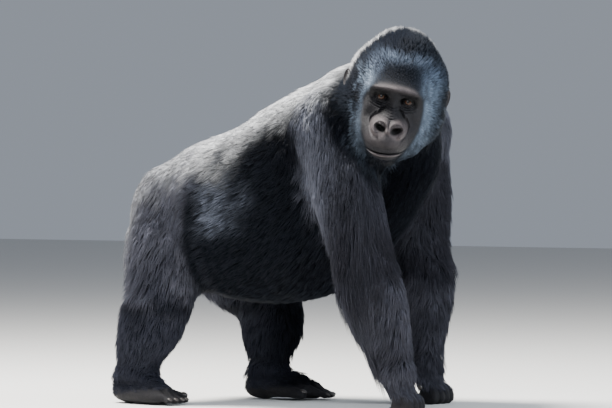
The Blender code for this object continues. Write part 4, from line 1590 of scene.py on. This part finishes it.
def hide():
    paint = Paint("hide")
    bare_there = paint.kept("bare")
    worn_and_highlight = paint.kept("warm") * bare_there
    streaks = paint.grain(0.0016, 2.0, (1, 1, 0.12))
    under = paint.dimmed(paint.kept("dye_and_painted_light", "Color"), UNDER_HAIR)
    height = bare_relief(paint) * bare_there + streaks * 1.6 * (1 - bare_there)
    # bare skin, darkened in its hollows as painted shade
    lit = paint.dimmed(bare_colour(paint, worn_and_highlight), 1 - 0.92 * paint.kept("hollow"))
    return paint.finish(
        Base_Color=paint.mixed(bare_there, under, lit),
        Roughness=0.80 - 0.26 * bare_there + 0.10 * paint.grain(0.0030) - 0.10 * worn_and_highlight,
        Normal=paint.bumped(height, 0.0011),
        Specular_IOR_Level=0.20,
    )


def ear_hide():
    paint = Paint("ear hide")
    return paint.finish(
        Base_Color=bare_colour(paint, paint.grain(0.012) * 0.4),
        Roughness=0.56 + 0.10 * paint.grain(0.0030),
        Normal=paint.bumped(bare_relief(paint), 0.0007),
        Specular_IOR_Level=0.22,
    )


skin.data.materials.clear()
skin.data.materials.append(hide())
ear_paint = ear_hide()
for shell in ears.values():
    shell.data.materials.append(ear_paint)
print("hide painted")

# %% [markdown]
# ## Hair
#
# Each tuft takes its own tone, darker at the root, where neighbours shade it, and paler at the tip. A trace
# of bluish sheen gives the cool bloom that skylight puts on black hair.

# %% Hair
TIP_SHADE = 1.12


def hair(name, root_shade):
    paint = Paint(name)
    reach = paint.kept("reach")
    tone = paint.kept("tone")
    shade = (root_shade + (TIP_SHADE - root_shade) * reach) * (0.50 + 1.0 * tone)
    return paint.finish(
        Base_Color=paint.dimmed(paint.kept("dye_and_painted_light", "Color"), shade),
        Roughness=0.62 - 0.16 * tone,
        Specular_IOR_Level=0.05,
        Sheen_Weight=0.02,
        Sheen_Roughness=0.45,
        Sheen_Tint=(0.62, 0.78, 1.0),
    )


short_hair = hair("short hair", 0.75)
long_hair = hair("long hair", 0.42)
for coat in coats:
    coat.data.materials.append(short_hair if coat.name == "coat_face" else long_hair)
print("hair painted on", len(coats), "pieces")

# %% [markdown]
# ## Eyes and nails
#
# The eye looks at the camera's first place: a round pupil, a dark amber iris with fine rays, darker at its
# rim, and a white that is nearly black, under a thin clear coat. The rings follow from how far a point lies
# from the way the eye looks. Nails are black horn with faint lengthwise streaks.

# %% Eyes
GAZE = (camera.location - eyes_middle).normalized()
IRIS = 0.60
PUPIL = 0.260
AMBER = (0.048, 0.018, 0.006)
IRIS_DARK = (0.014, 0.005, 0.003)
EYE_WHITE = (0.012, 0.008, 0.007)
PUPIL_BLACK = (0.002, 0.002, 0.002)


def eye_paint(side_name):
    paint = Paint("eye " + side_name)
    centre = middle_of("eye_" + side_name)
    from_centre = paint.vector("SUBTRACT", {0: paint.places(), 1: tuple(centre)})
    way = paint.vector("NORMALIZE", {0: from_centre})
    off_axis = paint.vector("CROSS_PRODUCT", {0: way, 1: tuple(GAZE)})
    ring = paint.vector("LENGTH", {0: off_axis}, "Value")
    rays = paint.grain(0.0012, 4.0)
    amber = paint.mixed(paint.step(rays, 0.35, 0.65), IRIS_DARK, AMBER)
    amber = paint.mixed(paint.step(ring, IRIS - 0.14, IRIS - 0.01), amber, IRIS_DARK)
    coloured = paint.mixed(paint.step(ring, PUPIL - 0.02, PUPIL + 0.03), PUPIL_BLACK, amber)
    return paint.finish(
        Base_Color=paint.mixed(paint.step(ring, IRIS - 0.02, IRIS + 0.04), coloured, EYE_WHITE),
        Roughness=0.22,
        Coat_Weight=0.10,
        Coat_Roughness=0.03,
        Specular_IOR_Level=0.18,
    )


for side_name, eye in eyes.items():
    eye.data.materials.append(eye_paint(side_name))
print("the eyes look along", [round(v, 2) for v in GAZE])


# %% Nails' horn
HORN_DARK = (0.012, 0.010, 0.010)
HORN_PALE = (0.050, 0.042, 0.038)


def horn():
    paint = Paint("horn")
    streaks = paint.grain(0.0009, 2.0, (1, 0.15, 0.15))
    return paint.finish(
        Base_Color=paint.mixed(streaks, HORN_DARK, HORN_PALE),
        Roughness=0.30 + 0.15 * streaks,
        Normal=paint.bumped(streaks, 0.0002),
        Specular_IOR_Level=0.5,
    )


horn_paint = horn()
for plate in nails:
    plate.data.materials.clear()
    plate.data.materials.append(horn_paint)
print("nails painted")

# %% [markdown]
# ## Hand over to the frame
#
# Every piece rides on the one body of the still animal. The skin stands for all the nodes of flesh, and the
# eyeballs and ears for theirs.

# %% Ride and replace
pieces = {skin: "skin"}
pieces |= {coat: "saddle" if coat.name == "coat_loins_and_rump" else "coat" for coat in coats}
pieces |= {shell: "skin" for shell in ears.values()}
pieces |= {eye: "eye" for eye in eyes.values()}
pieces |= {plate: "nail" for plate in nails}
for piece, slot in pieces.items():
    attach(piece, "root")
for side_name in SIDES:
    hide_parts("eye_" + side_name)
    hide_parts("ear_" + side_name)
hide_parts(*[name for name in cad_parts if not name.startswith("e")])
